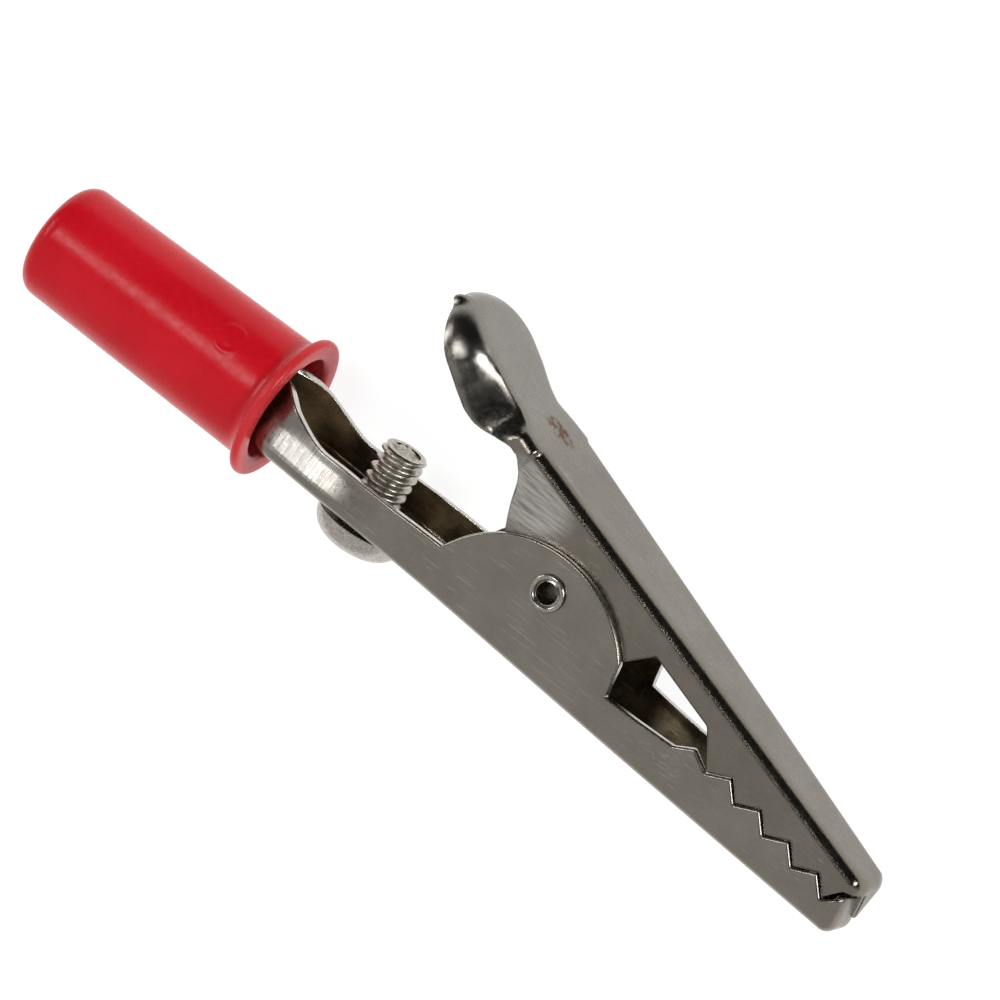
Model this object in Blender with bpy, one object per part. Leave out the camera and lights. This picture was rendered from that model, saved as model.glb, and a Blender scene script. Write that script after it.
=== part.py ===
"""Alligator clip with a screw terminal, a sprung jaw and a push-on insulating handle.

The clip is drawn upright: +X runs to the jaw tip, +Z to the lever side, and the pivot is at
the origin. An empty then lays the whole clip on its side, which is how it rests on a bench,
with the middle of its footprint at the world origin. Lengths are in millimetres until a mesh
is made.
"""
import math

import bmesh
import bpy
from mathutils import Vector

MM = 0.001

# Pressed steel of both jaws
SHEET = 0.5
BEND_RADIUS = 0.8            # outer radius of the folds along each jaw
LOWER_TIP_X = 24.35
UPPER_TIP_X = 24.2
FIT = 0.05                   # clearance of running fits
FLAT_STEPS = 2               # section steps on half the flat, on a fold and on a cheek
BEND_STEPS = 3
CHEEK_STEPS = 2
LEAN_DEPTH = 1.3             # a cheek reaches its foot's width this far below the fold

# Lower jaw: fixed half, with the barrel, the terminal and the outer ears
BARREL_REAR_X = -30.0
BARREL_RADIUS = 2.3
BARREL_WRAP = math.radians(166)
FOLD_START_X = -18.6         # between these two the flat tail rolls up into the barrel
FOLD_END_X = -22.6
TAIL_WALL_Z = -1.6
TAIL_CLIMB = 1.75            # the tail's wall climbs this much towards the barrel
CLIMB_START_X = -15.7
CLIMB_LENGTH = 5.2
EAR_CENTRE = (-0.3, -5.2)
EAR_RADIUS = 7.55
EAR_REAR_X = -6.95
EAR_FRONT = (5.9, -0.89)
EAR_FOOT = (6.15, -2.9)
LOWER_FLOOR = ((-24.0, -4.25), (-18.4, -4.0), (-7.9, -4.42), (7.4, -5.72),
               (LOWER_TIP_X, -7.0))
LOWER_HALF_WIDTH = ((-24.0, 3.5), (-18.0, 3.65), (-12.9, 3.7), (-7.0, 3.53),
                    (LOWER_TIP_X, 2.0))      # at the floor
WALL_LEAN = ((-24.0, -0.4), (-16.0, -0.4), (-10.5, 0.0), (-7.0, 0.0), (6.2, 0.62),
             (12.0, 0.0))    # at the wall's top, out from the floor's half width

# Teeth, shared by both jaws
TOOTH_COUNT = 5
TOOTH_PITCH = 2.41
FIRST_CREST = (12.36, -2.12)
CREST_FALL = 0.5             # each tooth sits this much lower than the one behind it
VALLEY_AHEAD = 0.93
VALLEY_DEPTH = 1.15
TOOTH_GAP = 0.2
CREST_SHIFT = 0.12           # the upper valleys sit this much ahead of the lower crests
BLUNT_CREST = (12.05, -2.47)  # the first lower tooth is cut short
WINDOW_CORNERS = ((8.2, -3.0), (10.9, -3.05))

# Upper jaw: moving half, with the inner cheeks and the thumb lever
PLATE_POINT = (-2.5, 5.79)
PLATE_SLOPE = math.radians(18.1)
LEVER_BEND_X = -7.9
LEVER_SLOPE = math.radians(32)
LEVER_END_LENGTH = 7.12       # from the lever's bend to its round end
LEVER_END_RADIUS = 3.7
LEVER_RIM = 2.3              # depth of the lever's turned-down rim
LEVER_END_RIM = 1.0
LEVER_BEND_RADIUS = 1.0
UPPER_CHEEK_HALF_WIDTH = 2.9
UPPER_REAR_HALF_WIDTH = 3.55
UPPER_REAR_X = -4.8
UPPER_TIP_HALF_WIDTH = 2.0
LEVER_STATIONS = ((-1.0, 3.45, 1.85), (0.15, 3.5, 2.45), (1.0, 3.6, 2.55), (2.2, 3.85, 2.4),
                  (LEVER_END_LENGTH - LEVER_END_RADIUS, 4.0, LEVER_RIM))
# each is (distance back from the lever's bend, half width, rim depth)
UPPER_EAR_RADIUS = 2.9
NOTCH_CORNER = (7.3, 0.63)
NOTCH_FRONT = (11.96, -0.93)
UPPER_EAR_FRONT = (5.4, -1.2)

# Pivot
EYELET_RADIUS = 0.9
EYELET_BORE_RADIUS = 0.62
EYELET_ROLL = 0.28           # size of the rolled-over end
EAR_OUTER_Y = 3.53

# Spring
WIRE_RADIUS = 0.3
WIRE_GAP = 0.1               # between a leg's end and the sheet it presses on
COIL_RADIUS = 1.6
COIL_TURNS = 4.5
COIL_PITCH = 0.72
LEG_REACH = 7.4
LOWER_LEG_BEND = (-2.6, -1.85)
UPPER_LEG_BEND = (-2.2, 1.95)

# Terminal screw, 4-40
SCREW_X = -12.8
THREAD_RADIUS = 1.42
THREAD_PITCH = 0.635
THREAD_DEPTH = 0.34
THREAD_START = 0.25          # plain shank under the head
SCREW_END_CHAMFER = 0.15
SCREW_HEAD_RADIUS = 2.85
SCREW_HEAD_HEIGHT = 1.6
SCREW_DOME_ANGLE = math.radians(62)
SCREW_HEAD_TOP_Z = -4.6      # bearing face of the head
SCREW_TIP_Z = 0.41
SLOT_WIDTH = 0.7
SLOT_DEPTH = 0.75
SLOT_TURN = math.radians(72)

# Insulating handle
HANDLE_Z = -1.95
HANDLE_REAR_X = -37.83
HANDLE_FRONT_X = -20.2
HANDLE_REAR_RADIUS = 3.65
HANDLE_FRONT_RADIUS = 3.88
HANDLE_EDGE = 1.1             # rounding of the rear edge
HANDLE_REAR_HOLE = 2.2        # the lead passes through here
HANDLE_REAR_WALL = 1.2
HANDLE_BORE = 2.9
FLANGE_RADIUS = 4.66
FLANGE_THICK = 0.6
MOUTH_RADIUS = 3.38
MOUTH_DEPTH = 4.4            # the mouth narrows over this length, then steps down to the grip
GRIP_DEPTH = 5.2


# ---------------------------------------------------------------- helpers

def blend(a, b, t):
    return a + (b - a) * t


def smooth(t):
    t = min(max(t, 0.0), 1.0)
    return t * t * (3 - 2 * t)


def along(table, x):
    """Value at x on the straight runs between a table's (x, value) pairs."""
    if x <= table[0][0]:
        return table[0][1]
    for (x0, v0), (x1, v1) in zip(table, table[1:]):
        if x <= x1:
            return blend(v0, v1, (x - x0) / (x1 - x0))
    return table[-1][1]


def steps(start, end, count):
    """Evenly spaced values from start to end, both included."""
    return [blend(start, end, i / count) for i in range(count + 1)]


def material(name, colour, roughness, metallic):
    made = bpy.data.materials.new(name)
    made.use_nodes = True
    shader = made.node_tree.nodes["Principled BSDF"]
    shader.inputs["Base Color"].default_value = (*colour, 1.0)
    shader.inputs["Roughness"].default_value = roughness
    shader.inputs["Metallic"].default_value = metallic
    return made


def add_object(name, data, parent, centre=(0, 0, 0)):
    """Place an object whose points are given around `centre` under the clip's axes."""
    made = bpy.data.objects.new(name, data)
    made.location = Vector(centre) * MM
    made.parent = parent
    bpy.context.collection.objects.link(made)
    return made


def mesh_from(name, points, faces, centre=(0, 0, 0)):
    """A mesh in metres, from millimetre points, around its own centre."""
    made = bpy.data.meshes.new(name)
    middle = Vector(centre)
    made.from_pydata([(Vector(p) - middle) * MM for p in points], [], faces)
    made.update()
    return made


def finish(thing, paint, sharp_degrees=35):
    thing.data.materials.append(paint)
    thing.data.shade_smooth()
    thing.data.set_sharp_from_angle(angle=math.radians(sharp_degrees))
    return thing


def turned(name, profile, segments, parent, centre, axis="X"):
    """A ring-shaped solid turned from a profile of (along the axis, radius) points.

    A profile point with radius 0 becomes one point on the axis."""
    points = []
    rings = []
    for shift, radius in profile:
        if radius == 0:
            rings.append([len(points)] * segments)
            points.append(turn_point(shift, 0, 0, centre, axis))
            continue
        rings.append(list(range(len(points), len(points) + segments)))
        for i in range(segments):
            points.append(turn_point(shift, radius, math.tau * i / segments, centre, axis))
    faces = []
    hollow = all(radius > 0 for _, radius in profile)
    pairs = list(zip(rings, rings[1:]))
    if hollow:
        pairs.append((rings[-1], rings[0]))
    for ring, after in pairs:
        for i in range(segments):
            j = (i + 1) % segments
            corners = [ring[i], ring[j], after[j], after[i]]
            face = [c for k, c in enumerate(corners) if c not in corners[:k]]
            if len(face) > 2:
                faces.append(face)
    data = mesh_from(name, points, faces, centre)
    face_outwards(data)
    return add_object(name, data, parent, centre)


def turn_point(shift, radius, angle, centre, axis):
    across = radius * math.cos(angle)
    other = radius * math.sin(angle)
    if axis == "X":
        return (centre[0] + shift, centre[1] + across, centre[2] + other)
    if axis == "Y":
        return (centre[0] + across, centre[1] + shift, centre[2] + other)
    return (centre[0] + across, centre[1] + other, centre[2] + shift)


def face_outwards(data):
    work = bmesh.new()
    work.from_mesh(data)
    bmesh.ops.recalc_face_normals(work, faces=work.faces)
    work.to_mesh(data)
    work.free()


def cylinder_cutter(name, centre, radius, half_length, axis, parent, segments=24):
    """A hidden cylinder that cuts a round hole."""
    profile = [(-half_length, 0), (-half_length, radius), (half_length, radius),
               (half_length, 0)]
    made = turned(name, profile, segments, parent, centre, axis)
    made.hide_render = True
    made.display_type = "WIRE"
    return made


def cut(thing, cutter):
    change = thing.modifiers.new(cutter.name, "BOOLEAN")
    change.operation = "DIFFERENCE"
    change.object = cutter


def thicken(thing):
    """Give the outer skin the sheet's thickness on its inner side."""
    change = thing.modifiers.new("sheet", "SOLIDIFY")
    change.thickness = SHEET * MM
    change.offset = -1
    change.use_even_offset = True
    change.use_quality_normals = True


class Skin:
    """The outer face of a pressed part, as rows of points joined by quads."""

    def __init__(self, outward):
        self.points = []
        self.faces = []
        self.outward = outward

    def add_row(self, row):
        first = len(self.points)
        self.points += row
        return list(range(first, first + len(row)))

    def join(self, row, after):
        for i in range(len(row) - 1):
            corners = [row[i], row[i + 1], after[i + 1], after[i]]
            face = [c for k, c in enumerate(corners) if c not in corners[:k]]
            self.faces.append(face if self.outward else face[::-1])

    def object(self, name, parent):
        made = add_object(name, mesh_from(name, self.points, self.faces), parent)
        thicken(made)
        return made


# ---------------------------------------------------------------- sections

def channel_half(half_width, depth, foot_half_width, bend):
    """Half a U section as (y, depth) points, from the middle of the flat to the cheek's edge."""
    flat = half_width - bend
    half = [(flat * i / FLAT_STEPS, 0.0) for i in range(FLAT_STEPS + 1)]
    for i in range(1, BEND_STEPS + 1):
        angle = math.pi / 2 * i / BEND_STEPS
        half.append((flat + bend * math.sin(angle), bend - bend * math.cos(angle)))
    knee = min(bend + LEAN_DEPTH, blend(bend, depth, 0.6))
    half.append((foot_half_width, knee))
    half.append((foot_half_width, depth))
    return half


def barrel_half():
    """Half of the rolled barrel's section, from the bottom round to its open seam."""
    count = FLAT_STEPS + BEND_STEPS + CHEEK_STEPS
    half = []
    for angle in steps(0, BARREL_WRAP, count):
        half.append((BARREL_RADIUS * math.sin(angle),
                     BARREL_RADIUS - BARREL_RADIUS * math.cos(angle)))
    return half


def both_sides(half):
    """The whole section from one edge to the other, given one half from the middle out."""
    return [(-y, depth) for y, depth in reversed(half)] + half[1:]


def flat_part(row):
    """The stretch of a row that lies on the flat, between the two folds."""
    middle = len(row) // 2
    return row[middle - FLAT_STEPS:middle + FLAT_STEPS + 1]


def crest(index):
    return (FIRST_CREST[0] + index * TOOTH_PITCH, FIRST_CREST[1] - index * CREST_FALL)


def valley(index):
    x, z = crest(index)
    return (x + VALLEY_AHEAD, z - VALLEY_DEPTH)


# ---------------------------------------------------------------- lower jaw

def tail_edge(x):
    """Height of the tail's wall at x: it climbs towards the barrel."""
    return TAIL_WALL_Z + TAIL_CLIMB * smooth((CLIMB_START_X - x) / CLIMB_LENGTH)


def ear_edge(x):
    return EAR_CENTRE[1] + math.sqrt(EAR_RADIUS ** 2 - (x - EAR_CENTRE[0]) ** 2)


def lower_outline():
    """The cheek's upper edge from the barrel to the tip."""
    outline = [(x, tail_edge(x)) for x in [BARREL_REAR_X] + steps(FOLD_END_X, -15.6, 9)]
    outline += [(x, tail_edge(x)) for x in (-12.9, -8.9)]
    start = math.acos((EAR_REAR_X - EAR_CENTRE[0]) / EAR_RADIUS)
    end = math.acos((EAR_FRONT[0] - EAR_CENTRE[0]) / EAR_RADIUS)
    for angle in steps(start, end, 14):
        x = EAR_CENTRE[0] + EAR_RADIUS * math.cos(angle)
        outline.append((x, ear_edge(x)))
    outline += [EAR_FOOT, *WINDOW_CORNERS, BLUNT_CREST, valley(0)]
    for index in range(1, TOOTH_COUNT):
        outline += [crest(index), valley(index)]
    outline.append((LOWER_TIP_X - BEND_RADIUS, valley(TOOTH_COUNT - 1)[1] - 0.1))
    return outline


def lower_jaw(parent, steel):
    skin = Skin(outward=True)
    rows = []
    for x, edge in lower_outline():
        floor = along(LOWER_FLOOR, x)
        wide = along(LOWER_HALF_WIDTH, x)
        half = channel_half(wide, edge - floor, wide + along(WALL_LEAN, x), BEND_RADIUS)
        rolled = smooth((FOLD_START_X - x) / (FOLD_START_X - FOLD_END_X))
        if rolled > 0:
            half = [(blend(y, ry, rolled), blend(d, rd, rolled))
                    for (y, d), (ry, rd) in zip(half, barrel_half())]
        row = skin.add_row([(x, y, floor + depth) for y, depth in both_sides(half)])
        if rows:
            skin.join(rows[-1], row)
        rows.append(row)
    add_lower_lip(skin, rows[-1])
    jaw = skin.object("lower_jaw", parent)
    cut(jaw, cylinder_cutter("lower_pivot_hole", (0, 0, 0), EYELET_RADIUS + FIT, 6, "Y", parent))
    cut(jaw, cylinder_cutter("terminal_hole", (SCREW_X, 0, -4), THREAD_RADIUS + FIT, 1.2, "Z",
                             parent))
    return finish(jaw, steel)


def add_lower_lip(skin, last_row):
    """Turn the end of the floor up to close the nose."""
    row = flat_part(last_row)
    floor = along(LOWER_FLOOR, LOWER_TIP_X)
    start_x = LOWER_TIP_X - BEND_RADIUS
    places = []
    for angle in steps(0, math.pi / 2, BEND_STEPS)[1:]:
        places.append((start_x + BEND_RADIUS * math.sin(angle),
                       floor + BEND_RADIUS - BEND_RADIUS * math.cos(angle)))
    places.append((LOWER_TIP_X, valley(TOOTH_COUNT - 1)[1] - 0.05))
    for x, z in places:
        after = skin.add_row([(x, skin.points[i][1], z) for i in row])
        skin.join(row, after)
        row = after


# ---------------------------------------------------------------- upper jaw

PLATE_BACK = Vector((-math.cos(PLATE_SLOPE), 0, math.sin(PLATE_SLOPE)))
PLATE_OUT = Vector((math.sin(PLATE_SLOPE), 0, math.cos(PLATE_SLOPE)))
PLATE_HEIGHT = PLATE_OUT.dot(Vector((PLATE_POINT[0], 0, PLATE_POINT[1])))
LEVER_BACK = Vector((-math.cos(LEVER_SLOPE), 0, math.sin(LEVER_SLOPE)))
LEVER_OUT = Vector((math.sin(LEVER_SLOPE), 0, math.cos(LEVER_SLOPE)))


def plate_place(x, z):
    """A side-view point as (distance back along the plate, depth below the plate)."""
    point = Vector((x, 0, z))
    return (PLATE_BACK.dot(point), PLATE_HEIGHT - PLATE_OUT.dot(point))


def upper_outline():
    """The cheek's lower edge from the tip to the lever, as side-view points."""
    outline = []
    tip = valley(TOOTH_COUNT - 1)
    outline.append((UPPER_TIP_X - BEND_RADIUS + 0.15, tip[1] + TOOTH_GAP + 0.15))
    for index in reversed(range(TOOTH_COUNT)):
        x, z = valley(index)
        outline.append((x, z + TOOTH_GAP))
        if index > 0:
            x, z = crest(index)
            outline.append((x + CREST_SHIFT, z + TOOTH_GAP))
    outline += [NOTCH_FRONT, NOTCH_CORNER, UPPER_EAR_FRONT]
    for angle in steps(math.radians(-58), math.radians(-150), 7):
        outline.append((UPPER_EAR_RADIUS * math.cos(angle), UPPER_EAR_RADIUS * math.sin(angle)))
    outline += [(-3.9, 0.2), (-4.5, 1.5), (-4.95, 2.7), (-5.2, 4.0), (-5.45, 4.75), (-5.9, 5.1)]
    return outline


def plate_half_width(back):
    """Half the width of the back plate, which narrows evenly to the tip."""
    rear = plate_place(UPPER_REAR_X, PLATE_POINT[1])[0]
    tip = plate_place(UPPER_TIP_X, valley(TOOTH_COUNT - 1)[1])[0]
    return blend(UPPER_TIP_HALF_WIDTH, UPPER_REAR_HALF_WIDTH, (back - tip) / (rear - tip))


def cheek_foot(wide, depth):
    """Half-width at the cheek's edge, which leans in to pass between the lower ears."""
    lean = smooth((depth - 1.2) / 1.2)
    return blend(wide, min(wide, UPPER_CHEEK_HALF_WIDTH), lean)


def upper_row(skin, origin, out, half):
    return skin.add_row([tuple(origin - out * depth + Vector((0, y, 0)))
                         for y, depth in both_sides(half)])


def upper_jaw(parent, steel):
    skin = Skin(outward=True)
    rows = []
    for x, z in upper_outline():
        back, depth = plate_place(x, z)
        wide = plate_half_width(back)
        half = channel_half(wide, depth, cheek_foot(wide, depth), BEND_RADIUS)
        row = upper_row(skin, PLATE_BACK * back + PLATE_OUT * PLATE_HEIGHT, PLATE_OUT, half)
        if rows:
            skin.join(rows[-1], row)
        rows.append(row)
    add_upper_lip(skin, rows[0])
    add_lever(skin, rows[-1])
    jaw = skin.object("upper_jaw", parent)
    cut(jaw, cylinder_cutter("upper_pivot_hole", (0, 0, 0), EYELET_RADIUS + FIT, 6, "Y", parent))
    return finish(jaw, steel)


def add_upper_lip(skin, first_row):
    """Turn the end of the back plate down to close the nose."""
    row = flat_part(first_row)
    start = Vector((skin.points[row[0]][0], 0, skin.points[row[0]][2]))
    front = -PLATE_BACK
    last_z = valley(TOOTH_COUNT - 1)[1] + TOOTH_GAP + 0.1
    places = []
    turn = math.pi / 2 - PLATE_SLOPE
    for angle in steps(0, turn, BEND_STEPS)[1:]:
        places.append(start + front * (BEND_RADIUS * math.sin(angle))
                      - PLATE_OUT * (BEND_RADIUS * (1 - math.cos(angle))))
    places.append(Vector((places[-1].x, 0, last_z)))
    for place in places:
        after = skin.add_row([(place.x, skin.points[i][1], place.z) for i in row])
        skin.join(after, row)
        row = after


def add_lever(skin, row):
    """Carry the plate up into the thumb lever and turn its rim down all the way round."""
    bend_back = plate_place(LEVER_BEND_X, PLATE_POINT[1])[0]
    corner_height = PLATE_POINT[1] + (PLATE_POINT[0] - LEVER_BEND_X) * math.tan(PLATE_SLOPE)
    corner = Vector((LEVER_BEND_X, 0, corner_height))
    centre = corner + LEVER_BACK * (LEVER_END_LENGTH - LEVER_END_RADIUS)
    halfway_out = (PLATE_OUT + LEVER_OUT).normalized()
    places = []
    for distance, wide, depth in LEVER_STATIONS:
        if distance < 0:
            places.append((corner + PLATE_BACK * distance, PLATE_OUT, wide, depth))
        elif distance < LEVER_BEND_RADIUS:
            places.append((corner + LEVER_BACK * distance, halfway_out, wide, depth))
        else:
            places.append((corner + LEVER_BACK * distance, LEVER_OUT, wide, depth))
    for origin, out, wide, depth in places:
        half = channel_half(wide, depth, wide - 0.05, LEVER_BEND_RADIUS)
        after = upper_row(skin, origin, out, half)
        skin.join(row, after)
        row = after
    add_lever_end(skin, row, centre, places[-1][2])


def add_lever_end(skin, row, centre, wide):
    """Close the lever with a round end, turning the rim about the middle of the last row."""
    middle = len(row) // 2
    spoke = row[middle::-1]
    turns = 8
    for i in range(1, turns + 1):
        angle = math.pi * i / turns
        if i == turns:
            after = row[middle:]
        else:
            rim = blend(LEVER_RIM, LEVER_END_RIM, smooth(math.sin(angle)))
            half = channel_half(wide, rim, wide - 0.05, LEVER_BEND_RADIUS)
            after = [row[middle]] + skin.add_row([
                tuple(centre + Vector((0, -y * math.cos(angle), 0))
                      + LEVER_BACK * (y * math.sin(angle) * LEVER_END_RADIUS / wide)
                      - LEVER_OUT * depth)
                for y, depth in half[1:]])
        skin.join(after, spoke)
        spoke = after


# ---------------------------------------------------------------- small parts

def pivot_eyelet(parent, steel):
    """A tubular rivet, rolled over outside both ears."""
    reach = EAR_OUTER_Y + FIT
    roll = EYELET_ROLL / 2
    profile = [(-reach, EYELET_RADIUS)]
    for angle in steps(0, math.radians(200), 5):
        profile.append((-reach - roll + roll * math.cos(angle) * 0.98,
                        EYELET_RADIUS + roll * 0.6 + roll * math.sin(angle)))
    profile += [(-reach - roll, EYELET_BORE_RADIUS + 0.1), (-reach, EYELET_BORE_RADIUS)]
    mirrored = [(-shift, radius) for shift, radius in reversed(profile)]
    made = turned("pivot_eyelet", profile + mirrored, 24, parent, (0, 0, 0), "Y")
    return finish(made, steel)


def torsion_spring(parent, steel):
    """Coil round the eyelet, with one leg on the tail's floor and one under the lever."""
    half_width = COIL_TURNS * COIL_PITCH / 2
    lower_angle = math.radians(-90)
    points = []
    count = int(COIL_TURNS * 14)
    for i in range(count + 1):
        angle = lower_angle + math.tau * COIL_TURNS * i / count
        points.append((COIL_RADIUS * math.cos(angle), blend(-half_width, half_width, i / count),
                       COIL_RADIUS * math.sin(angle)))
    floor = along(LOWER_FLOOR, -LEG_REACH) + SHEET + WIRE_RADIUS + WIRE_GAP
    points.insert(0, (-LEG_REACH, -half_width, floor))
    points.insert(1, (LOWER_LEG_BEND[0], -half_width, LOWER_LEG_BEND[1]))
    lift = PLATE_HEIGHT - SHEET - WIRE_RADIUS - WIRE_GAP
    end = PLATE_BACK * LEG_REACH + PLATE_OUT * lift
    points.append((UPPER_LEG_BEND[0], half_width, UPPER_LEG_BEND[1]))
    points.append((end.x, half_width, end.z))
    curve = bpy.data.curves.new("torsion_spring", "CURVE")
    curve.dimensions = "3D"
    curve.bevel_depth = WIRE_RADIUS * MM
    curve.bevel_resolution = 2
    curve.use_fill_caps = True
    spline = curve.splines.new("POLY")
    spline.points.add(len(points) - 1)
    for target, point in zip(spline.points, points):
        target.co = (*(Vector(point) * MM), 1.0)
    made = add_object("torsion_spring", curve, parent)
    curve.materials.append(steel)
    return made


def terminal_screw(parent, steel):
    """A pan-head machine screw, head outside the tail and thread up through its floor."""
    seat = SCREW_HEAD_TOP_Z
    root = THREAD_RADIUS - THREAD_DEPTH
    profile = [(-SCREW_HEAD_HEIGHT, 0)]
    crown = SCREW_HEAD_HEIGHT / math.sin(SCREW_DOME_ANGLE)
    for angle in steps(SCREW_DOME_ANGLE, 0, 4)[1:]:
        profile.append((-crown * math.sin(angle), SCREW_HEAD_RADIUS * math.cos(angle)))
    profile.append((0, root))
    length = SCREW_TIP_Z - seat
    turns = int((length - 2 * THREAD_START) / THREAD_PITCH)
    for i in range(turns):
        low = THREAD_START + i * THREAD_PITCH
        profile += [(low, root), (low + THREAD_PITCH / 2, THREAD_RADIUS)]
    profile += [(THREAD_START + turns * THREAD_PITCH, root),
                (length - SCREW_END_CHAMFER, THREAD_RADIUS),
                (length, THREAD_RADIUS - SCREW_END_CHAMFER), (length, 0)]
    centre = (SCREW_X, 0, seat)
    made = turned("terminal_screw", profile, 20, parent, centre, "Z")
    slot = slot_cutter(parent, centre)
    cut(made, slot)
    return finish(made, steel)


def slot_cutter(parent, centre):
    work = bmesh.new()
    bmesh.ops.create_cube(work, size=1.0)
    size = (SLOT_WIDTH, SCREW_HEAD_RADIUS * 3, SLOT_DEPTH * 2)
    bmesh.ops.scale(work, vec=[s * MM for s in size], verts=work.verts)
    data = bpy.data.meshes.new("screw_slot")
    work.to_mesh(data)
    work.free()
    made = add_object("screw_slot", data, parent,
                      (centre[0], 0, centre[2] - SCREW_HEAD_HEIGHT))
    made.rotation_euler.z = SLOT_TURN
    made.hide_render = True
    made.display_type = "WIRE"
    return made


def insulating_handle(parent, vinyl):
    """A moulded sleeve with a flange in front, gripping the barrel and open behind."""
    length = HANDLE_FRONT_X - HANDLE_REAR_X
    grip_rear = BARREL_REAR_X - HANDLE_REAR_X - 0.3
    profile = [(0, HANDLE_REAR_HOLE)]
    for angle in steps(math.pi / 2, 0, 4):
        profile.append((HANDLE_EDGE * (1 - math.sin(angle)),
                        HANDLE_REAR_RADIUS - HANDLE_EDGE * (1 - math.cos(angle))))
    profile += [(length - FLANGE_THICK - 0.5, HANDLE_FRONT_RADIUS),
                (length - FLANGE_THICK - 0.1, HANDLE_FRONT_RADIUS + 0.3),
                (length - FLANGE_THICK, FLANGE_RADIUS - 0.1),
                (length - FLANGE_THICK / 2, FLANGE_RADIUS),
                (length, FLANGE_RADIUS - 0.12),
                (length, MOUTH_RADIUS + 0.25),
                (length - 0.3, MOUTH_RADIUS),
                (length - MOUTH_DEPTH, MOUTH_RADIUS - 0.3),
                (length - GRIP_DEPTH, BARREL_RADIUS + FIT),
                (grip_rear, BARREL_RADIUS + FIT),
                (grip_rear - 0.6, HANDLE_BORE),
                (HANDLE_REAR_WALL, HANDLE_BORE),
                (HANDLE_REAR_WALL, HANDLE_REAR_HOLE)]
    made = turned("insulating_handle", profile, 32, parent, (HANDLE_REAR_X, 0, HANDLE_Z), "X")
    return finish(made, vinyl)


# ---------------------------------------------------------------- assembly

def centre_on_footprint(axes):
    """Bring the middle of the clip's footprint to the origin, with the clip standing on Z = 0."""
    bpy.context.view_layer.update()
    graph = bpy.context.evaluated_depsgraph_get()
    corners = []
    for thing in axes.children:
        if thing.type == "MESH" and not thing.hide_render:
            solid = thing.evaluated_get(graph)
            corners += [solid.matrix_world @ Vector(corner) for corner in solid.bound_box]
    low = [min(corner[i] for corner in corners) for i in range(3)]
    high = [max(corner[i] for corner in corners) for i in range(3)]
    axes.location -= Vector(((low[0] + high[0]) / 2, (low[1] + high[1]) / 2, low[2]))


def main():
    for old in list(bpy.data.objects):
        bpy.data.objects.remove(old, do_unlink=True)
    axes = bpy.data.objects.new("clip_axes", None)
    bpy.context.collection.objects.link(axes)
    axes.rotation_euler.x = math.radians(-90)

    nickel = material("nickel_plated_steel", (0.44, 0.42, 0.39), 0.3, 1.0)
    bright = material("bright_nickel", (0.62, 0.6, 0.57), 0.2, 1.0)
    spring_steel = material("spring_steel", (0.3, 0.3, 0.3), 0.35, 1.0)
    vinyl = material("red_vinyl", (0.6, 0.02, 0.03), 0.4, 0.0)

    lower_jaw(axes, nickel)
    upper_jaw(axes, nickel)
    pivot_eyelet(axes, bright)
    torsion_spring(axes, spring_steel)
    terminal_screw(axes, bright)
    insulating_handle(axes, vinyl)
    centre_on_footprint(axes)


main()
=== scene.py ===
"""Looks of the alligator clip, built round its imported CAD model.

Shapes are drawn in the clip's own axes, in millimetres: the pivot is at the origin, +X runs to
the jaw tip and +Z to the lever side. place() lays them on their side over the CAD model.
"""
import math

import bmesh
import bpy
from mathutils import Matrix, Vector, noise


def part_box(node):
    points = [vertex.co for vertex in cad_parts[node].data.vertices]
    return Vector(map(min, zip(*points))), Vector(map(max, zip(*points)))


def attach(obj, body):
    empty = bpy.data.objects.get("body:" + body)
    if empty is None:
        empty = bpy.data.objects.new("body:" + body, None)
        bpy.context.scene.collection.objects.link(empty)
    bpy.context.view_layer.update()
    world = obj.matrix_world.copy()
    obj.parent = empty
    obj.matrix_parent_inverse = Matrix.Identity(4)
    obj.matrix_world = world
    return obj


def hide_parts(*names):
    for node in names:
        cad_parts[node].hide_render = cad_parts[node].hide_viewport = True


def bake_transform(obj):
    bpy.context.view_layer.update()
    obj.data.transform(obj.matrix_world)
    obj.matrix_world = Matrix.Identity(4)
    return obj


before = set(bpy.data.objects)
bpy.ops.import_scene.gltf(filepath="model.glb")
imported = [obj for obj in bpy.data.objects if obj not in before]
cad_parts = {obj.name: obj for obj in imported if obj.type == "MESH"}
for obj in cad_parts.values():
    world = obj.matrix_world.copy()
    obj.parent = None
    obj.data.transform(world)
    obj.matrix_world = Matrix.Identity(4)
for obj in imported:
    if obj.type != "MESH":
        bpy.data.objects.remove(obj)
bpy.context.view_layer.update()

MM = 0.001
EYELET_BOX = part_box("pivot_eyelet")
PIVOT = (EYELET_BOX[0] + EYELET_BOX[1]) / 2

# Camera: a very long lens, looking nearly square at the clip's side
CAMERA_AIM = Vector((-6.087, 1.944, 1.28))       # millimetres from the pivot
CAMERA_BACK = Vector((0.290, 0.3145, 0.903))
CAMERA_UP = Vector((-0.580, 0.809, -0.0954))
VIEW_WIDTH = 57.142857
LENS = 1000
SENSOR = 36
LIGHT_DISTANCE = 0.9
FLOOR_SIZE = 0.12

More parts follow.
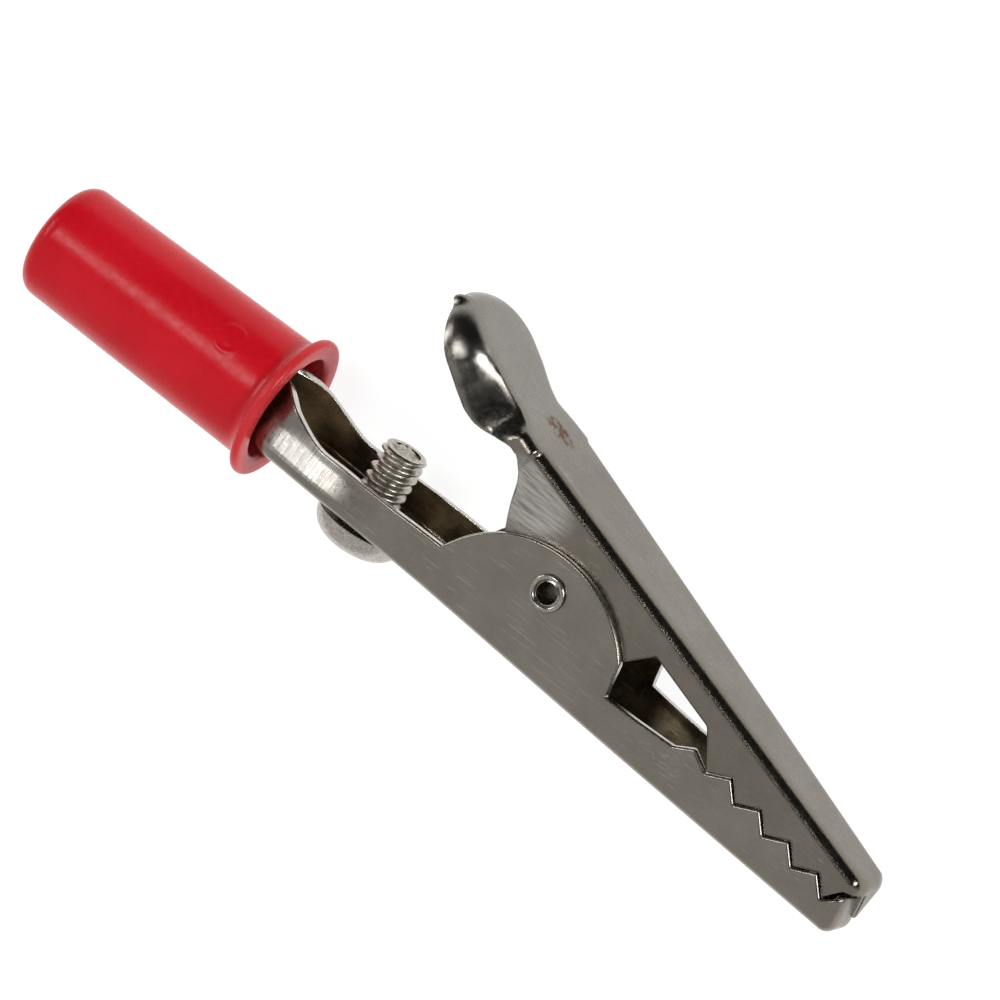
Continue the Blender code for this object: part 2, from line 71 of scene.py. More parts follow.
# Pressed steel of both jaws
SHEET = 0.5
BEND_RADIUS = 0.8
LOWER_TIP_X = 24.35
UPPER_TIP_X = 24.2
FLAT_STEPS = 4
BEND_STEPS = 8
CHEEK_STEPS = 12
NOSE_STEPS = 8
NOSE_BEND = 0.65
LEAN_DEPTH = 1.5               # a leaning cheek has moved in this far below its bend
EDGE_ROLL = 0.14               # a cut edge is rolled over outside
EDGE_BURR = 0.04               # and has a small round inside
ROLL_STEPS = 4
BURR_STEPS = 3
MITER_LIMIT = 1.5
THICKEN_LIMIT = 1.4
OUTER_PAINT, INNER_PAINT, EDGE_PAINT = range(3)
SHARP_DEGREES = 50
CORNER_SHARE = 0.42            # most of a run that a rounded corner may take up
STRAIGHT_ANGLE = math.radians(12)
CORNER_STEPS = 5
CUTTER_SIDES = 64
HOLE_PLAY = 0.05

# Lower jaw
BARREL_REAR_X = -30.0
BARREL_RADIUS = 2.3
BARREL_WRAP = math.radians(166)
FOLD_START_X = -18.6
FOLD_END_X = -22.6
TAIL_WALL_Z = -1.6
TAIL_CLIMB = 1.75
CLIMB_START_X = -15.7
CLIMB_LENGTH = 5.2
EAR_CENTRE = (-0.3, -5.2)
EAR_RADIUS = 7.55
EAR_STEPS = 60
EAR_REAR_X = -6.95
EAR_FRONT = (5.9, -0.89)
EAR_FOOT = (6.15, -2.9)
WINDOW_SILL = ((8.2, -3.0), (10.9, -3.05))
TAIL_ROWS = ((BARREL_REAR_X, -23.525, 7), (FOLD_END_X, -15.6, 30), (-15.0, -8.9, 12))
LOWER_CORNER_ROUND = 0.12
LOWER_FLOOR = ((-24.0, -4.25), (-18.4, -4.0), (-7.9, -4.42), (7.4, -5.72),
               (LOWER_TIP_X, -7.0))
LOWER_HALF_WIDTH = ((-24.0, 3.5), (-18.0, 3.65), (-12.9, 3.7), (-7.0, 3.53),
                    (LOWER_TIP_X, 2.0))
WALL_LEAN = ((-24.0, -0.4), (-14.6, -0.4), (-10.5, 0.0), (-7.0, 0.0), (6.2, 0.62),
             (12.0, 0.0))
TAIL_DIP = 0.4                 # the far wall is lower round here
TAIL_DIP_X = -19.8
TAIL_DIP_REACH = 1.9
LOWER_NOSE_FAR_WIDTH = 1.6
LOWER_NOSE_CORNERS = (0.95, 1.2)
LOWER_NOSE_RISES = (0.0, 0.5, 0.3, -0.2)
LOWER_NOSE_LEAN = -0.05

# Teeth
TOOTH_COUNT = 5
TOOTH_PITCH = 2.41
FIRST_CREST = (12.36, -2.12)
CREST_FALL = 0.5
VALLEY_AHEAD = 0.93
VALLEY_DEPTH = 1.15
TOOTH_GAP = 0.12
UPPER_VALLEY_SHIFT = 0.12
BLUNT_CREST = (12.05, -2.47)
LIP_RISE = 0.4

# Upper jaw
PLATE_POINT = (-2.5, 5.79)
PLATE_SLOPE = math.radians(18.1)
UPPER_CORNER_ROUND = 0.16
UPPER_LIP = (0.15, 0.75)       # of the first tooth edge, ahead of the wall and above the gap
CHEEK_EASE = 1.9
REAR_LEAN_DEPTH = 4.2
REAR_LEAN_CHANGE = (2.0, 6.0)
UPPER_NOSE_CORNERS = (1.4, 1.5)
UPPER_NOSE_SHARE = 0.8
UPPER_NOSE_HEIGHTS = (0.8, 2.7, 2.4)
UPPER_NOSE_LEAN = 0.2

# Thumb lever; pairs of distances back from its bend say where a change starts and ends
LEVER_BEND_X = -7.9
LEVER_BEND_REACH = 1.2
LEVER_BEND_FILL = 0.05
LEVER_SLOPE = math.radians(32)
LEVER_STEPS = 34
LEVER_END_STEPS = 60
LEVER_END_LENGTH = 7.12
LEVER_END_RADIUS = 3.7
LEVER_RIM = 2.3
LEVER_END_RIM = 1.2
LEAST_RIM = 0.1
RIM_CHANGE = (-2.0, 0.5)
FLAT_RIM_START = (-1.9, -1.1)
FLAT_RIM_END = (1.2, 3.4)
# Painted highlight on the lever rim's bends near its end: fold values are raised above 1 there
TIP_HIGHLIGHT = 0.6
TIP_HIGHLIGHT_START = (2.4, 3.2)
TIP_HIGHLIGHT_TURN = 0.4
NEAR_LEVER_SWEEP = ((-1.9, 90), (-0.5, 64), (1.2, 60), (3.42, 80))
FAR_LEVER_SWEEP = 72
SLOPE_EASE = 0.12
NEAR_LEVER_REACH = ((-1.9, 0.8), (-0.3, 1.25), (1.5, 1.4), (3.42, 1.65))
NEAR_LEVER_DROP = ((-1.9, 0.8), (-0.8, 2.0), (-0.3, 2.4), (3.42, 2.4))
FAR_LEVER_BEND = (1.0, 1.2)
BURR_ANGLE = math.radians(68)
BURR_HEIGHT = 0.4
BURR_TURN = 0.09
BURR_DEPTHS = (0.3, 0.7)       # shares of the rim over which the burr stands out
UPPER_CHEEK_HALF_WIDTH = 2.96
UPPER_EAR_RADIUS = 2.9
UPPER_EAR_START = math.radians(-58)
UPPER_EAR_END = math.radians(-150)
CHEEK_REAR_EDGE = ((-3.9, 0.2), (-4.5, 1.5), (-4.95, 2.7), (-5.28, 4.0), (-5.55, 4.9),
                   (-6.0, 5.45))
NOTCH_CORNER = (7.3, 0.63)
NOTCH_FRONT = (11.96, -0.93)
UPPER_EAR_FRONT = (5.4, -1.2)

# Pivot and spring
EYELET_RADIUS = 0.9
EYELET_BORE_RADIUS = 0.62
EYELET_STAND_OFF = 0.03
EYELET_LIP = 0.1
EYELET_ROLL = (0.13, 0.15)
EYELET_FLARE = 0.06
EAR_OUTER_Y = 3.53
WIRE_RADIUS = 0.3
COIL_RADIUS = 1.6
COIL_TURNS = 4.5
COIL_PITCH = 0.72
LEG_REACH = 7.4
LOWER_LEG_GAP = 0.1
UPPER_LEG_GAP = 0.12
LOWER_LEG_SLACK = 0.25
UPPER_LEG_SLACK = 0.35

# Terminal screw
SCREW_X = -12.8
THREAD_RADIUS = 1.42
THREAD_PITCH = 0.635
THREAD_DEPTH = 0.34
THREAD_SIDES = 64
THREAD_ROWS = 12               # for each pitch
GROOVE_SIDES = (0.08, 0.88)    # where the flanks start and end, as shares of half a pitch
THREAD_START = 0.15
THREAD_WEAR = 0.03
TIP_TAPER = 0.22
TIP_SHRINK = 0.14
SHEAR_DENT = 0.4
SCREW_HEAD_RADIUS = 2.85
SCREW_HEAD_HEIGHT = 1.6
SCREW_SEAT_Z = -4.6
SCREW_TIP_Z = 0.41
SLOT_WIDTH = 0.7
SLOT_DEPTH = 0.5
SLOT_TURN = math.radians(-72)
DOME_ANGLE = math.radians(75)
DOME_SHARE = 0.55
DOME_RIM = 0.04
NECK_RADIUS = THREAD_RADIUS - 0.5
NECK_LENGTH = 0.2
HEAD_ROUND = 0.06

# Insulating handle
HANDLE_Z = -1.95
HANDLE_REAR_X = -37.83
HANDLE_FRONT_X = -20.2
HANDLE_REAR_RADIUS = 3.65
HANDLE_FRONT_RADIUS = 3.88
HANDLE_EDGE = 1.1
HANDLE_REAR_HOLE = 2.2
HANDLE_REAR_WALL = 1.2
HANDLE_BORE = 2.9
FLANGE_RADIUS = 4.66
FLANGE_THICK = 0.6
FLANGE_ROUND = 0.22
FLANGE_FILLET = (0.85, 0.5)
BARREL_STEPS = 110
MOUTH_RADIUS = 3.38
MOUTH_ROUND = 0.3
MOUTH_DEPTH = 4.4
GRIP_DEPTH = 5.2
GRIP_PLAY = 0.05
GATE_MARK = (-24.45, -3.05, 0.45)
GATE_RING = (0.85, 0.12)       # radius and width of the mark's ring
GATE_DOT = (0.3, 0.15)         # and of the fainter dot in it
GATE_HEIGHT = 0.06
WAVES = ((0.16, 0.05), (0.6, 0.012))      # how fine and how deep


# ---------------------------------------------------------------- helpers

def blend(a, b, t):
    """The value a share t of the way from a to b."""
    return a + (b - a) * t


def smooth(t):
    """A share from 0 to 1, eased at both ends."""
    t = min(max(t, 0.0), 1.0)
    return t * t * (3 - 2 * t)


def eased(value, start, end):
    """0 up to start and 1 from end on, with a smooth change between them."""
    return smooth((value - start) / (end - start))


def along(table, x):
    """Value at x on the straight runs between a table's (x, value) pairs."""
    if x <= table[0][0]:
        return table[0][1]
    for (x0, v0), (x1, v1) in zip(table, table[1:]):
        if x <= x1:
            return blend(v0, v1, (x - x0) / (x1 - x0))
    return table[-1][1]


def steps(start, end, count):
    """Evenly spaced values from start to end, count steps apart."""
    return [blend(start, end, i / count) for i in range(count + 1)]


def hump(value, middle, reach):
    """1 at the middle, falling away on both sides."""
    return math.exp(-((value - middle) / reach) ** 2)


def soften(outline, radius):
    """Round every corner of an outline of side-view points."""
    made = [outline[0]]
    for before, corner, after in zip(outline, outline[1:], outline[2:]):
        b, c, a = Vector(before), Vector(corner), Vector(after)
        into, out = (c - b), (a - c)
        reach = min(radius, CORNER_SHARE * into.length, CORNER_SHARE * out.length)
        if into.angle(out) < STRAIGHT_ANGLE:
            made.append(corner)
            continue
        start = c - into.normalized() * reach
        end = c + out.normalized() * reach
        for t in steps(0, 1, CORNER_STEPS):
            made.append(tuple(start.lerp(c, t).lerp(c.lerp(end, t), t)))
    made.append(outline[-1])
    return made


def curve_through(points, count):
    """Points on a smooth curve through the given side-view points."""
    made = []
    padded = [points[0]] + list(points) + [points[-1]]
    for i in range(len(points) - 1):
        p0, p1, p2, p3 = (Vector(p) for p in padded[i:i + 4])
        for k in range(count):
            t = k / count
            made.append(tuple(0.5 * (2 * p1 + (p2 - p0) * t
                                     + (2 * p0 - 5 * p1 + 4 * p2 - p3) * t ** 2
                                     + (3 * p1 - p0 - 3 * p2 + p3) * t ** 3)))
    made.append(tuple(points[-1]))
    return made


def place(point):
    """A point of the clip's axes, in the frame of the CAD model."""
    x, y, z = point
    return PIVOT + Vector((x, z, -y)) * MM


def object_from(name, points, faces):
    """A mesh object from points in the clip's axes."""
    data = bpy.data.meshes.new(name)
    data.from_pydata([place(p) for p in points], [], faces)
    data.update()
    made = bpy.data.objects.new(name, data)
    bpy.context.scene.collection.objects.link(made)
    return made


def face_outwards(made, gap=None):
    """Turn all faces of a closed mesh outwards, once points nearer than the gap are joined."""
    work = bmesh.new()
    work.from_mesh(made.data)
    if gap:
        bmesh.ops.remove_doubles(work, verts=work.verts, dist=gap * MM)
        bmesh.ops.dissolve_degenerate(work, edges=work.edges, dist=gap / 2 * MM)
    bmesh.ops.recalc_face_normals(work, faces=work.faces)
    work.to_mesh(made.data)
    work.free()


def apply_modifiers(made):
    """Replace an object's mesh by what its modifiers make of it."""
    graph = bpy.context.evaluated_depsgraph_get()
    done = bpy.data.meshes.new_from_object(made.evaluated_get(graph))
    made.modifiers.clear()
    made.data = done


def shade(made, degrees):
    """Shade smooth, with sharp edges where faces meet at more than the angle."""
    made.data.shade_smooth()
    made.data.set_sharp_from_angle(angle=math.radians(degrees))


def turned(name, profile, segments, centre, axis):
    """A ring-shaped solid turned from (along the axis, radius) points."""
    points, rings, faces = [], [], []
    for shift, radius in profile:
        if radius == 0:
            rings.append([len(points)] * segments)
            points.append(turn_point(shift, 0, 0, centre, axis))
            continue
        rings.append(list(range(len(points), len(points) + segments)))
        for i in range(segments):
            points.append(turn_point(shift, radius, math.tau * i / segments, centre, axis))
    pairs = list(zip(rings, rings[1:]))
    if all(radius > 0 for _, radius in profile):
        pairs.append((rings[-1], rings[0]))
    for ring, after in pairs:
        faces += ring_faces(ring, after)
    made = object_from(name, points, faces)
    face_outwards(made)
    return made


def ring_faces(ring, after):
    """Faces between two closed rings of points."""
    count = len(ring)
    quads = [[ring[i], ring[(i + 1) % count], after[(i + 1) % count], after[i]]
             for i in range(count)]
    return whole_faces(quads)


def whole_faces(quads):
    """The quads without repeated corners, leaving out any with fewer than three."""
    faces = []
    for quad in quads:
        face = [corner for k, corner in enumerate(quad) if corner not in quad[:k]]
        if len(face) > 2:
            faces.append(face)
    return faces


def turn_point(shift, radius, angle, centre, axis):
    """A point at a radius and an angle round an axis through the centre."""
    offset = [radius * math.cos(angle), radius * math.sin(angle)]
    offset.insert("XYZ".index(axis), shift)
    return tuple(middle + away for middle, away in zip(centre, offset))


def cut_round(thing, centre, radius, half_length, axis):
    """Cut a round hole through a thing."""
    profile = [(-half_length, 0), (-half_length, radius), (half_length, radius),
               (half_length, 0)]
    cut(thing, turned("cutter", profile, CUTTER_SIDES, centre, axis))


def cut_box(thing, centre, size, turn):
    """Cut a box given by its size, turned by a matrix of the clip's axes."""
    corners = []
    for x in (-0.5, 0.5):
        for y in (-0.5, 0.5):
            for z in (-0.5, 0.5):
                corner = Vector((x * size[0], y * size[1], z * size[2]))
                corners.append(Vector(centre) + turn @ corner)
    faces = [(0, 1, 3, 2), (4, 6, 7, 5), (0, 4, 5, 1), (2, 3, 7, 6), (0, 2, 6, 4), (1, 5, 7, 3)]
    box = object_from("cutter", corners, faces)
    face_outwards(box)
    cut(thing, box)


def cut(thing, cutter):
    """Take the cutter out of a thing and remove the cutter."""
    change = thing.modifiers.new("cut", "BOOLEAN")
    change.operation = "DIFFERENCE"
    change.object = cutter
    apply_modifiers(thing)
    bpy.data.objects.remove(cutter, do_unlink=True)


class Skin:
    """The outer face of a pressed part, as rows of points joined by quads."""

    def __init__(self):
        self.points = []
        self.faces = []
        self.folds = []

    def add_row(self, row, folds):
        """Add a row of points; folds says how far each one lies in a bend, from 0 to 1, and
        values above 1 on the lever's rim carry a painted highlight.
        """
        first = len(self.points)
        self.points += row
        self.folds += folds
        return list(range(first, first + len(row)))

    def join(self, row, after):
        """Join two rows with faces."""
        self.faces += whole_faces([[row[i], row[i + 1], after[i + 1], after[i]]
                                   for i in range(len(row) - 1)])


def press(skin, name):
    """Give the skin its thickness, with cut edges rolled over on the outside.

    A second face lies a sheet's thickness inside the first one, and a strip of faces round
    each free edge joins the two."""
    sheet = bmesh.new()
    corners = [sheet.verts.new(point) for point in skin.points]
    for face in skin.faces:
        sheet.faces.new([corners[i] for i in face])
    sheet.normal_update()
    sheet.verts.index_update()
    outer = [v.co.copy() for v in sheet.verts]
    inner = [v.co - v.normal * SHEET * even_factor(v) for v in sheet.verts]
    count = len(outer)
    rings, ring_points, ring_folds = {}, [], []
    for v in sheet.verts:
        edges = [e for e in v.link_edges if e.is_boundary]
        if not edges:
            continue
        profile = rim_profile(v, edges)
        outer[v.index], inner[v.index] = profile[0], profile[-1]
        first = count * 2 + len(ring_points)
        between = list(range(first, first + len(profile) - 2))
        rings[v.index] = [v.index, *between, count + v.index]
        ring_points += profile[1:-1]
        ring_folds += [skin.folds[v.index]] * len(between)
    faces, paints = [], []
    for face in skin.faces:
        faces.append(list(face))
        faces.append([count + i for i in reversed(face)])
        paints += [OUTER_PAINT, INNER_PAINT]
    for edge in sheet.edges:
        if not edge.is_boundary:
            continue
        loop = edge.link_loops[0]
        first, second = rings[loop.vert.index], rings[loop.link_loop_next.vert.index]
        for k in range(len(first) - 1):
            faces.append([second[k], first[k], first[k + 1], second[k + 1]])
            paints.append(OUTER_PAINT if k < ROLL_STEPS - 1 else EDGE_PAINT)
    sheet.free()
    made = object_from(name, outer + inner + ring_points, faces)
    made.data.polygons.foreach_set("material_index", paints)
    fold = made.data.attributes.new("fold", "FLOAT", "POINT")
    fold.data.foreach_set("value", skin.folds * 2 + ring_folds)
    for _ in range(EDGE_PAINT + 1):
        made.data.materials.append(None)
    return made


def even_factor(vertex):
    """How far past the sheet's thickness a corner's normal must reach to keep it even."""
    agree = [vertex.normal.dot(face.normal) for face in vertex.link_faces]
    return min(THICKEN_LIMIT, 1 / max(sum(agree) / len(agree), 0.5))


def rim_profile(vertex, edges):
    """The cut edge's section at a vertex, from the outer face to the inner one."""
    inwards = []
    for edge in edges:
        face = edge.link_faces[0]
        run = (edge.verts[1].co - edge.verts[0].co).normalized()
        into = face.calc_center_median() - edge.verts[0].co
        inwards.append((into - run * into.dot(run)).normalized())
    inward = sum(inwards, Vector()).normalized()
    miter = min(MITER_LIMIT, 1 / max(inward.dot(inwards[0]), 0.5))
    down = -vertex.normal * even_factor(vertex)
    section = []
    for angle in steps(0, math.pi / 2, ROLL_STEPS):
        section.append((EDGE_ROLL * (1 - math.sin(angle)), EDGE_ROLL * (1 - math.cos(angle))))
    for angle in steps(0, math.pi / 2, BURR_STEPS):
        section.append((EDGE_BURR * (1 - math.cos(angle)),
                        SHEET - EDGE_BURR * (1 - math.sin(angle))))
    return [vertex.co + inward * miter * along_sheet + down * below
            for along_sheet, below in section]


def finish_sheet(made):
    """Shade pressed steel so that its flats stay flat beside its bends."""
    shade(made, SHARP_DEGREES)
    change = made.modifiers.new("normals", "WEIGHTED_NORMAL")
    change.keep_sharp = True
    change.weight = 70
    apply_modifiers(made)


# ---------------------------------------------------------------- sections

def channel_half(half_width, depth, foot_half_width, bend=BEND_RADIUS, drop=BEND_RADIUS,
                 sweep=math.pi / 2, lean=LEAN_DEPTH):
    """Half a U section as (y, depth) points, from the middle of the flat to the cheek's edge.

    Its bend is bend wide and drop deep and turns through sweep; below it the cheek leans to the
    foot's half width over the lean depth."""
    flat = half_width - bend
    half = [(flat * i / FLAT_STEPS, 0.0) for i in range(FLAT_STEPS + 1)]
    for angle in steps(0, sweep, BEND_STEPS)[1:]:
        half.append((flat + bend * math.sin(angle) / math.sin(sweep),
                     drop * (1 - math.cos(angle)) / (1 - math.cos(sweep))))
    knee = min(lean, max(depth - drop, 0.01) * 0.8)
    for down in steps(drop, depth, CHEEK_STEPS)[1:]:
        half.append((blend(half_width, foot_half_width, min(1.0, (down - drop) / knee)), down))
    return half


def barrel_half():
    """Half of the rolled barrel's section, from the bottom round to its open seam."""
    count = FLAT_STEPS + BEND_STEPS + CHEEK_STEPS
    return [(BARREL_RADIUS * math.sin(angle), BARREL_RADIUS - BARREL_RADIUS * math.cos(angle))
            for angle in steps(0, BARREL_WRAP, count)]


def roll_up(half, x):
    """Turn a channel's half section into the rolled barrel's, towards the rear."""
    rolled = eased(x, FOLD_START_X, FOLD_END_X)
    return [(blend(y, round_y, rolled), blend(depth, round_depth, rolled))
            for (y, depth), (round_y, round_depth) in zip(half, barrel_half())]


def both_sides(near, far):
    """A whole section, from the near cheek's edge to the far one's."""
    return [(-y, depth) for y, depth in reversed(near)] + far[1:]


def fold_share(steps_in):
    """How far a point lies in the bend, from its count of steps away from the middle."""
    place_in_bend = (steps_in - FLAT_STEPS) / BEND_STEPS
    if 0 <= place_in_bend <= 1:
        return math.sin(math.pi * place_in_bend) ** 0.5
    return 0.0


SPOKE_FOLDS = [fold_share(i) for i in range(FLAT_STEPS + BEND_STEPS + CHEEK_STEPS + 1)]
ROW_FOLDS = SPOKE_FOLDS[:0:-1] + SPOKE_FOLDS


def crest(index):
    """Top of a lower tooth, counted from the rear, as a side-view point."""
    return (FIRST_CREST[0] + index * TOOTH_PITCH, FIRST_CREST[1] - index * CREST_FALL)


def valley(index):
    """Bottom of the gap ahead of a lower tooth."""
    x, z = crest(index)
    return (x + VALLEY_AHEAD, z - VALLEY_DEPTH)


# ---------------------------------------------------------------- nose of a jaw

WALL = BEND_STEPS + CHEEK_STEPS          # points of a wall above the flat's edge


def close_nose(skin, row, frame_axes, widths, spreads, heights, lean, flip):
    """Carry the wall of a jaw round its front, from the near cheek's last row to the far one.

    frame_axes is (middle of the flat, forward, outward); widths is the half width at the near
    and the far cheek, spreads how wide their corners turn; heights gives the wall's height at the
    near cheek, near end, far end and far cheek; lean slopes the front wall forwards."""
    near, far = (width - spread for width, spread in zip(widths, spreads))
    near_corner, far_corner = row[WALL], row[-1 - WALL]
    strips = [row[:WALL + 1]]
    turns = steps(0, math.pi / 2, NOSE_STEPS)[1:]
    for angle in turns:
        height = blend(heights[0], heights[1], math.sin(angle))
        strips.append(wall_strip(skin, frame_axes, -near, angle, spreads[0], height, lean,
                                 near_corner))
    flats = row[WALL:len(row) - WALL]
    for i, anchor in enumerate(flats[1:], 1):
        t = i / (len(flats) - 1)
        strips.append(wall_strip(skin, frame_axes, blend(-near, far, t), math.pi / 2, 0,
                                 blend(heights[1], heights[2], t), lean, anchor))
    for angle in reversed(turns[:-1]):
        height = blend(heights[3], heights[2], smooth(angle / (math.pi / 2)))
        strips.append(wall_strip(skin, frame_axes, far, math.pi - angle, spreads[1], height,
                                 lean, far_corner))
    strips.append(row[:-2 - WALL:-1])
    for strip, after in zip(strips, strips[1:]):
        if flip:
            skin.join(after, strip)
        else:
            skin.join(strip, after)


def wall_strip(skin, frame_axes, y, angle, spread, height, lean, anchor):
    """One strip of wall points, from its free edge down to the flat's corner point."""
    origin, forward, outward = frame_axes
    strip = []
    drop = blend(BEND_RADIUS, NOSE_BEND, math.sin(angle))
    for t in steps(0, 1, CHEEK_STEPS)[:0:-1]:
        strip.append((BEND_RADIUS, blend(drop, height, t)))
    for bend in steps(0, math.pi / 2, BEND_STEPS)[:0:-1]:
        strip.append((BEND_RADIUS - drop * (1 - math.sin(bend)), drop * (1 - math.cos(bend))))
    points = []
    for reach, depth in strip:
        ahead = reach * math.sin(angle) + lean * depth * math.sin(angle)
        across = y - (reach - BEND_RADIUS + spread) * math.cos(angle)
        points.append(tuple(origin + forward * ahead - outward * depth + Vector((0, across, 0))))
    return skin.add_row(points, SPOKE_FOLDS[:FLAT_STEPS:-1]) + [anchor]


# ---------------------------------------------------------------- lower jaw

def tail_edge(x):
    """Height of the tail's wall at x: it climbs towards the barrel."""
    return TAIL_WALL_Z + TAIL_CLIMB * smooth((CLIMB_START_X - x) / CLIMB_LENGTH)


def ear_edge(x):
    """Height of the round ear's edge at x."""
    return EAR_CENTRE[1] + math.sqrt(EAR_RADIUS ** 2 - (x - EAR_CENTRE[0]) ** 2)


def lower_outline():
    """The wall's upper edge from the barrel to the tip, as side-view points."""
    outline = []
    for start, end, count in TAIL_ROWS:
        outline += [(x, tail_edge(x)) for x in steps(start, end, count)]
    start = math.acos((EAR_REAR_X - EAR_CENTRE[0]) / EAR_RADIUS)
    end = math.acos((EAR_FRONT[0] - EAR_CENTRE[0]) / EAR_RADIUS)
    for angle in steps(start, end, EAR_STEPS):
        x = EAR_CENTRE[0] + EAR_RADIUS * math.cos(angle)
        outline.append((x, ear_edge(x)))
    outline += [EAR_FOOT, *WINDOW_SILL, BLUNT_CREST, valley(0)]
    for index in range(1, TOOTH_COUNT):
        outline += [crest(index), valley(index)]
    outline.append((LOWER_TIP_X - BEND_RADIUS, valley(TOOTH_COUNT - 1)[1] + LIP_RISE))
    return soften(outline, LOWER_CORNER_ROUND)


def lower_jaw():
    """The fixed jaw: a channel with ears and teeth, rolled into a barrel at its rear."""
    skin = Skin()
    row = None
    for x, edge in lower_outline():
        floor = along(LOWER_FLOOR, x)
        wide = along(LOWER_HALF_WIDTH, x)
        foot = wide + along(WALL_LEAN, x)
        dip = TAIL_DIP * hump(x, TAIL_DIP_X, TAIL_DIP_REACH)
        near, far = (roll_up(channel_half(wide, edge - floor - less, foot), x)
                     for less in (0, dip))
        after = skin.add_row([(x, y, floor + depth) for y, depth in both_sides(near, far)],
                             ROW_FOLDS)
        if row:
            skin.join(row, after)
        row = after
    front = Vector((x, 0, floor))
    close_nose(skin, row, (front, Vector((1, 0, 0)), Vector((0, 0, -1))),
               (wide, LOWER_NOSE_FAR_WIDTH), LOWER_NOSE_CORNERS,
               [edge - floor + rise for rise in LOWER_NOSE_RISES], LOWER_NOSE_LEAN, False)
    jaw = press(skin, "lower_jaw_steel")
    cut_round(jaw, (0, 0, 0), EYELET_RADIUS + HOLE_PLAY, 6, "Y")
    cut_round(jaw, (SCREW_X, 0, -4), THREAD_RADIUS + HOLE_PLAY, 1.2, "Z")
    finish_sheet(jaw)
    return jaw


# ---------------------------------------------------------------- upper jaw

PLATE_BACK = Vector((-math.cos(PLATE_SLOPE), 0, math.sin(PLATE_SLOPE)))
PLATE_OUT = Vector((math.sin(PLATE_SLOPE), 0, math.cos(PLATE_SLOPE)))
PLATE_HEIGHT = PLATE_OUT.dot(Vector((PLATE_POINT[0], 0, PLATE_POINT[1])))
LEVER_BACK = Vector((-math.cos(LEVER_SLOPE), 0, math.sin(LEVER_SLOPE)))
LEVER_OUT = Vector((math.sin(LEVER_SLOPE), 0, math.cos(LEVER_SLOPE)))


def plate_place(x, z):
    """A side-view point as (distance back along the plate, depth below the plate)."""
    point = Vector((x, 0, z))
    return (PLATE_BACK.dot(point), PLATE_HEIGHT - PLATE_OUT.dot(point))


TIP_BACK = plate_place(UPPER_TIP_X, valley(TOOTH_COUNT - 1)[1])[0]
BEND_BACK = PLATE_BACK.dot(Vector((LEVER_BEND_X, 0, PLATE_POINT[1] + (PLATE_POINT[0]
                           - LEVER_BEND_X) * math.tan(PLATE_SLOPE))))
UPPER_HALF_WIDTH = ((TIP_BACK, 2.0), (6.5, 3.52), (6.8, 3.8), (8.2, 3.62), (9.4, 3.42),
                    (10.6, 3.68), (11.8, 3.95), (13.3, 4.02))
RIM_DEPTH = ((-1.9, 1.46), (-0.9, 1.85), (-0.3, 2.25), (0.2, 2.5), (0.9, 2.6), (1.5, 2.5),
             (2.4, 2.4), (3.42, LEVER_RIM))


def upper_outline():
    """The cheek's lower edge from the tip to the lever, as side-view points."""
    tip = valley(TOOTH_COUNT - 1)
    outline = [(UPPER_TIP_X - BEND_RADIUS + UPPER_LIP[0], tip[1] + TOOTH_GAP + UPPER_LIP[1])]
    for index in reversed(range(TOOTH_COUNT)):
        x, z = valley(index)
        outline.append((x, z + TOOTH_GAP))
        if index > 0:
            x, z = crest(index)
            outline.append((x + UPPER_VALLEY_SHIFT, z + TOOTH_GAP))
    outline += [NOTCH_FRONT, NOTCH_CORNER, UPPER_EAR_FRONT]
    for angle in steps(UPPER_EAR_START, UPPER_EAR_END, 24):
        outline.append((UPPER_EAR_RADIUS * math.cos(angle), UPPER_EAR_RADIUS * math.sin(angle)))
    outline += curve_through(CHEEK_REAR_EDGE, 6)
    return soften(outline, UPPER_CORNER_ROUND)


def cheek_foot(wide, depth):
    """Half width of a cheek's lower edge: deep cheeks close in to fit between the ears."""
    lean = smooth((depth - BEND_RADIUS) / CHEEK_EASE)
    return blend(wide, min(wide, UPPER_CHEEK_HALF_WIDTH), lean)


def upper_row(skin, origin, out, near, far, folds):
    """Add a row from two half sections that hang below origin, against out."""
    return skin.add_row([tuple(origin - out * depth + Vector((0, y, 0)))
                         for y, depth in both_sides(near, far)], folds)


def upper_jaw():
    """The moving jaw: a channel with teeth and inner cheeks, drawn up into the thumb lever."""
    skin = Skin()
    rows = []
    outline = [plate_place(x, z) for x, z in upper_outline()]
    for back, depth in outline:
        wide = along(UPPER_HALF_WIDTH, back)
        lean = blend(LEAN_DEPTH, REAR_LEAN_DEPTH, eased(back, *REAR_LEAN_CHANGE))
        half = channel_half(wide, depth, cheek_foot(wide, depth), lean=lean)
        rows.append(upper_row(skin, PLATE_BACK * back + PLATE_OUT * PLATE_HEIGHT, PLATE_OUT, half,
                              half, ROW_FOLDS))
    for row, after in zip(rows, rows[1:]):
        skin.join(row, after)
    back, depth = outline[0]
    wide = along(UPPER_HALF_WIDTH, back)
    front = PLATE_BACK * back + PLATE_OUT * PLATE_HEIGHT
    close_nose(skin, rows[0], (front, -PLATE_BACK, PLATE_OUT), (wide, wide), UPPER_NOSE_CORNERS,
               (depth * UPPER_NOSE_SHARE, *UPPER_NOSE_HEIGHTS), UPPER_NOSE_LEAN, True)
    add_lever(skin, rows[-1], outline[-1][0])
    jaw = press(skin, "upper_jaw_steel")
    cut_round(jaw, (0, 0, 0), EYELET_RADIUS + HOLE_PLAY, 6, "Y")
    finish_sheet(jaw)
    return jaw


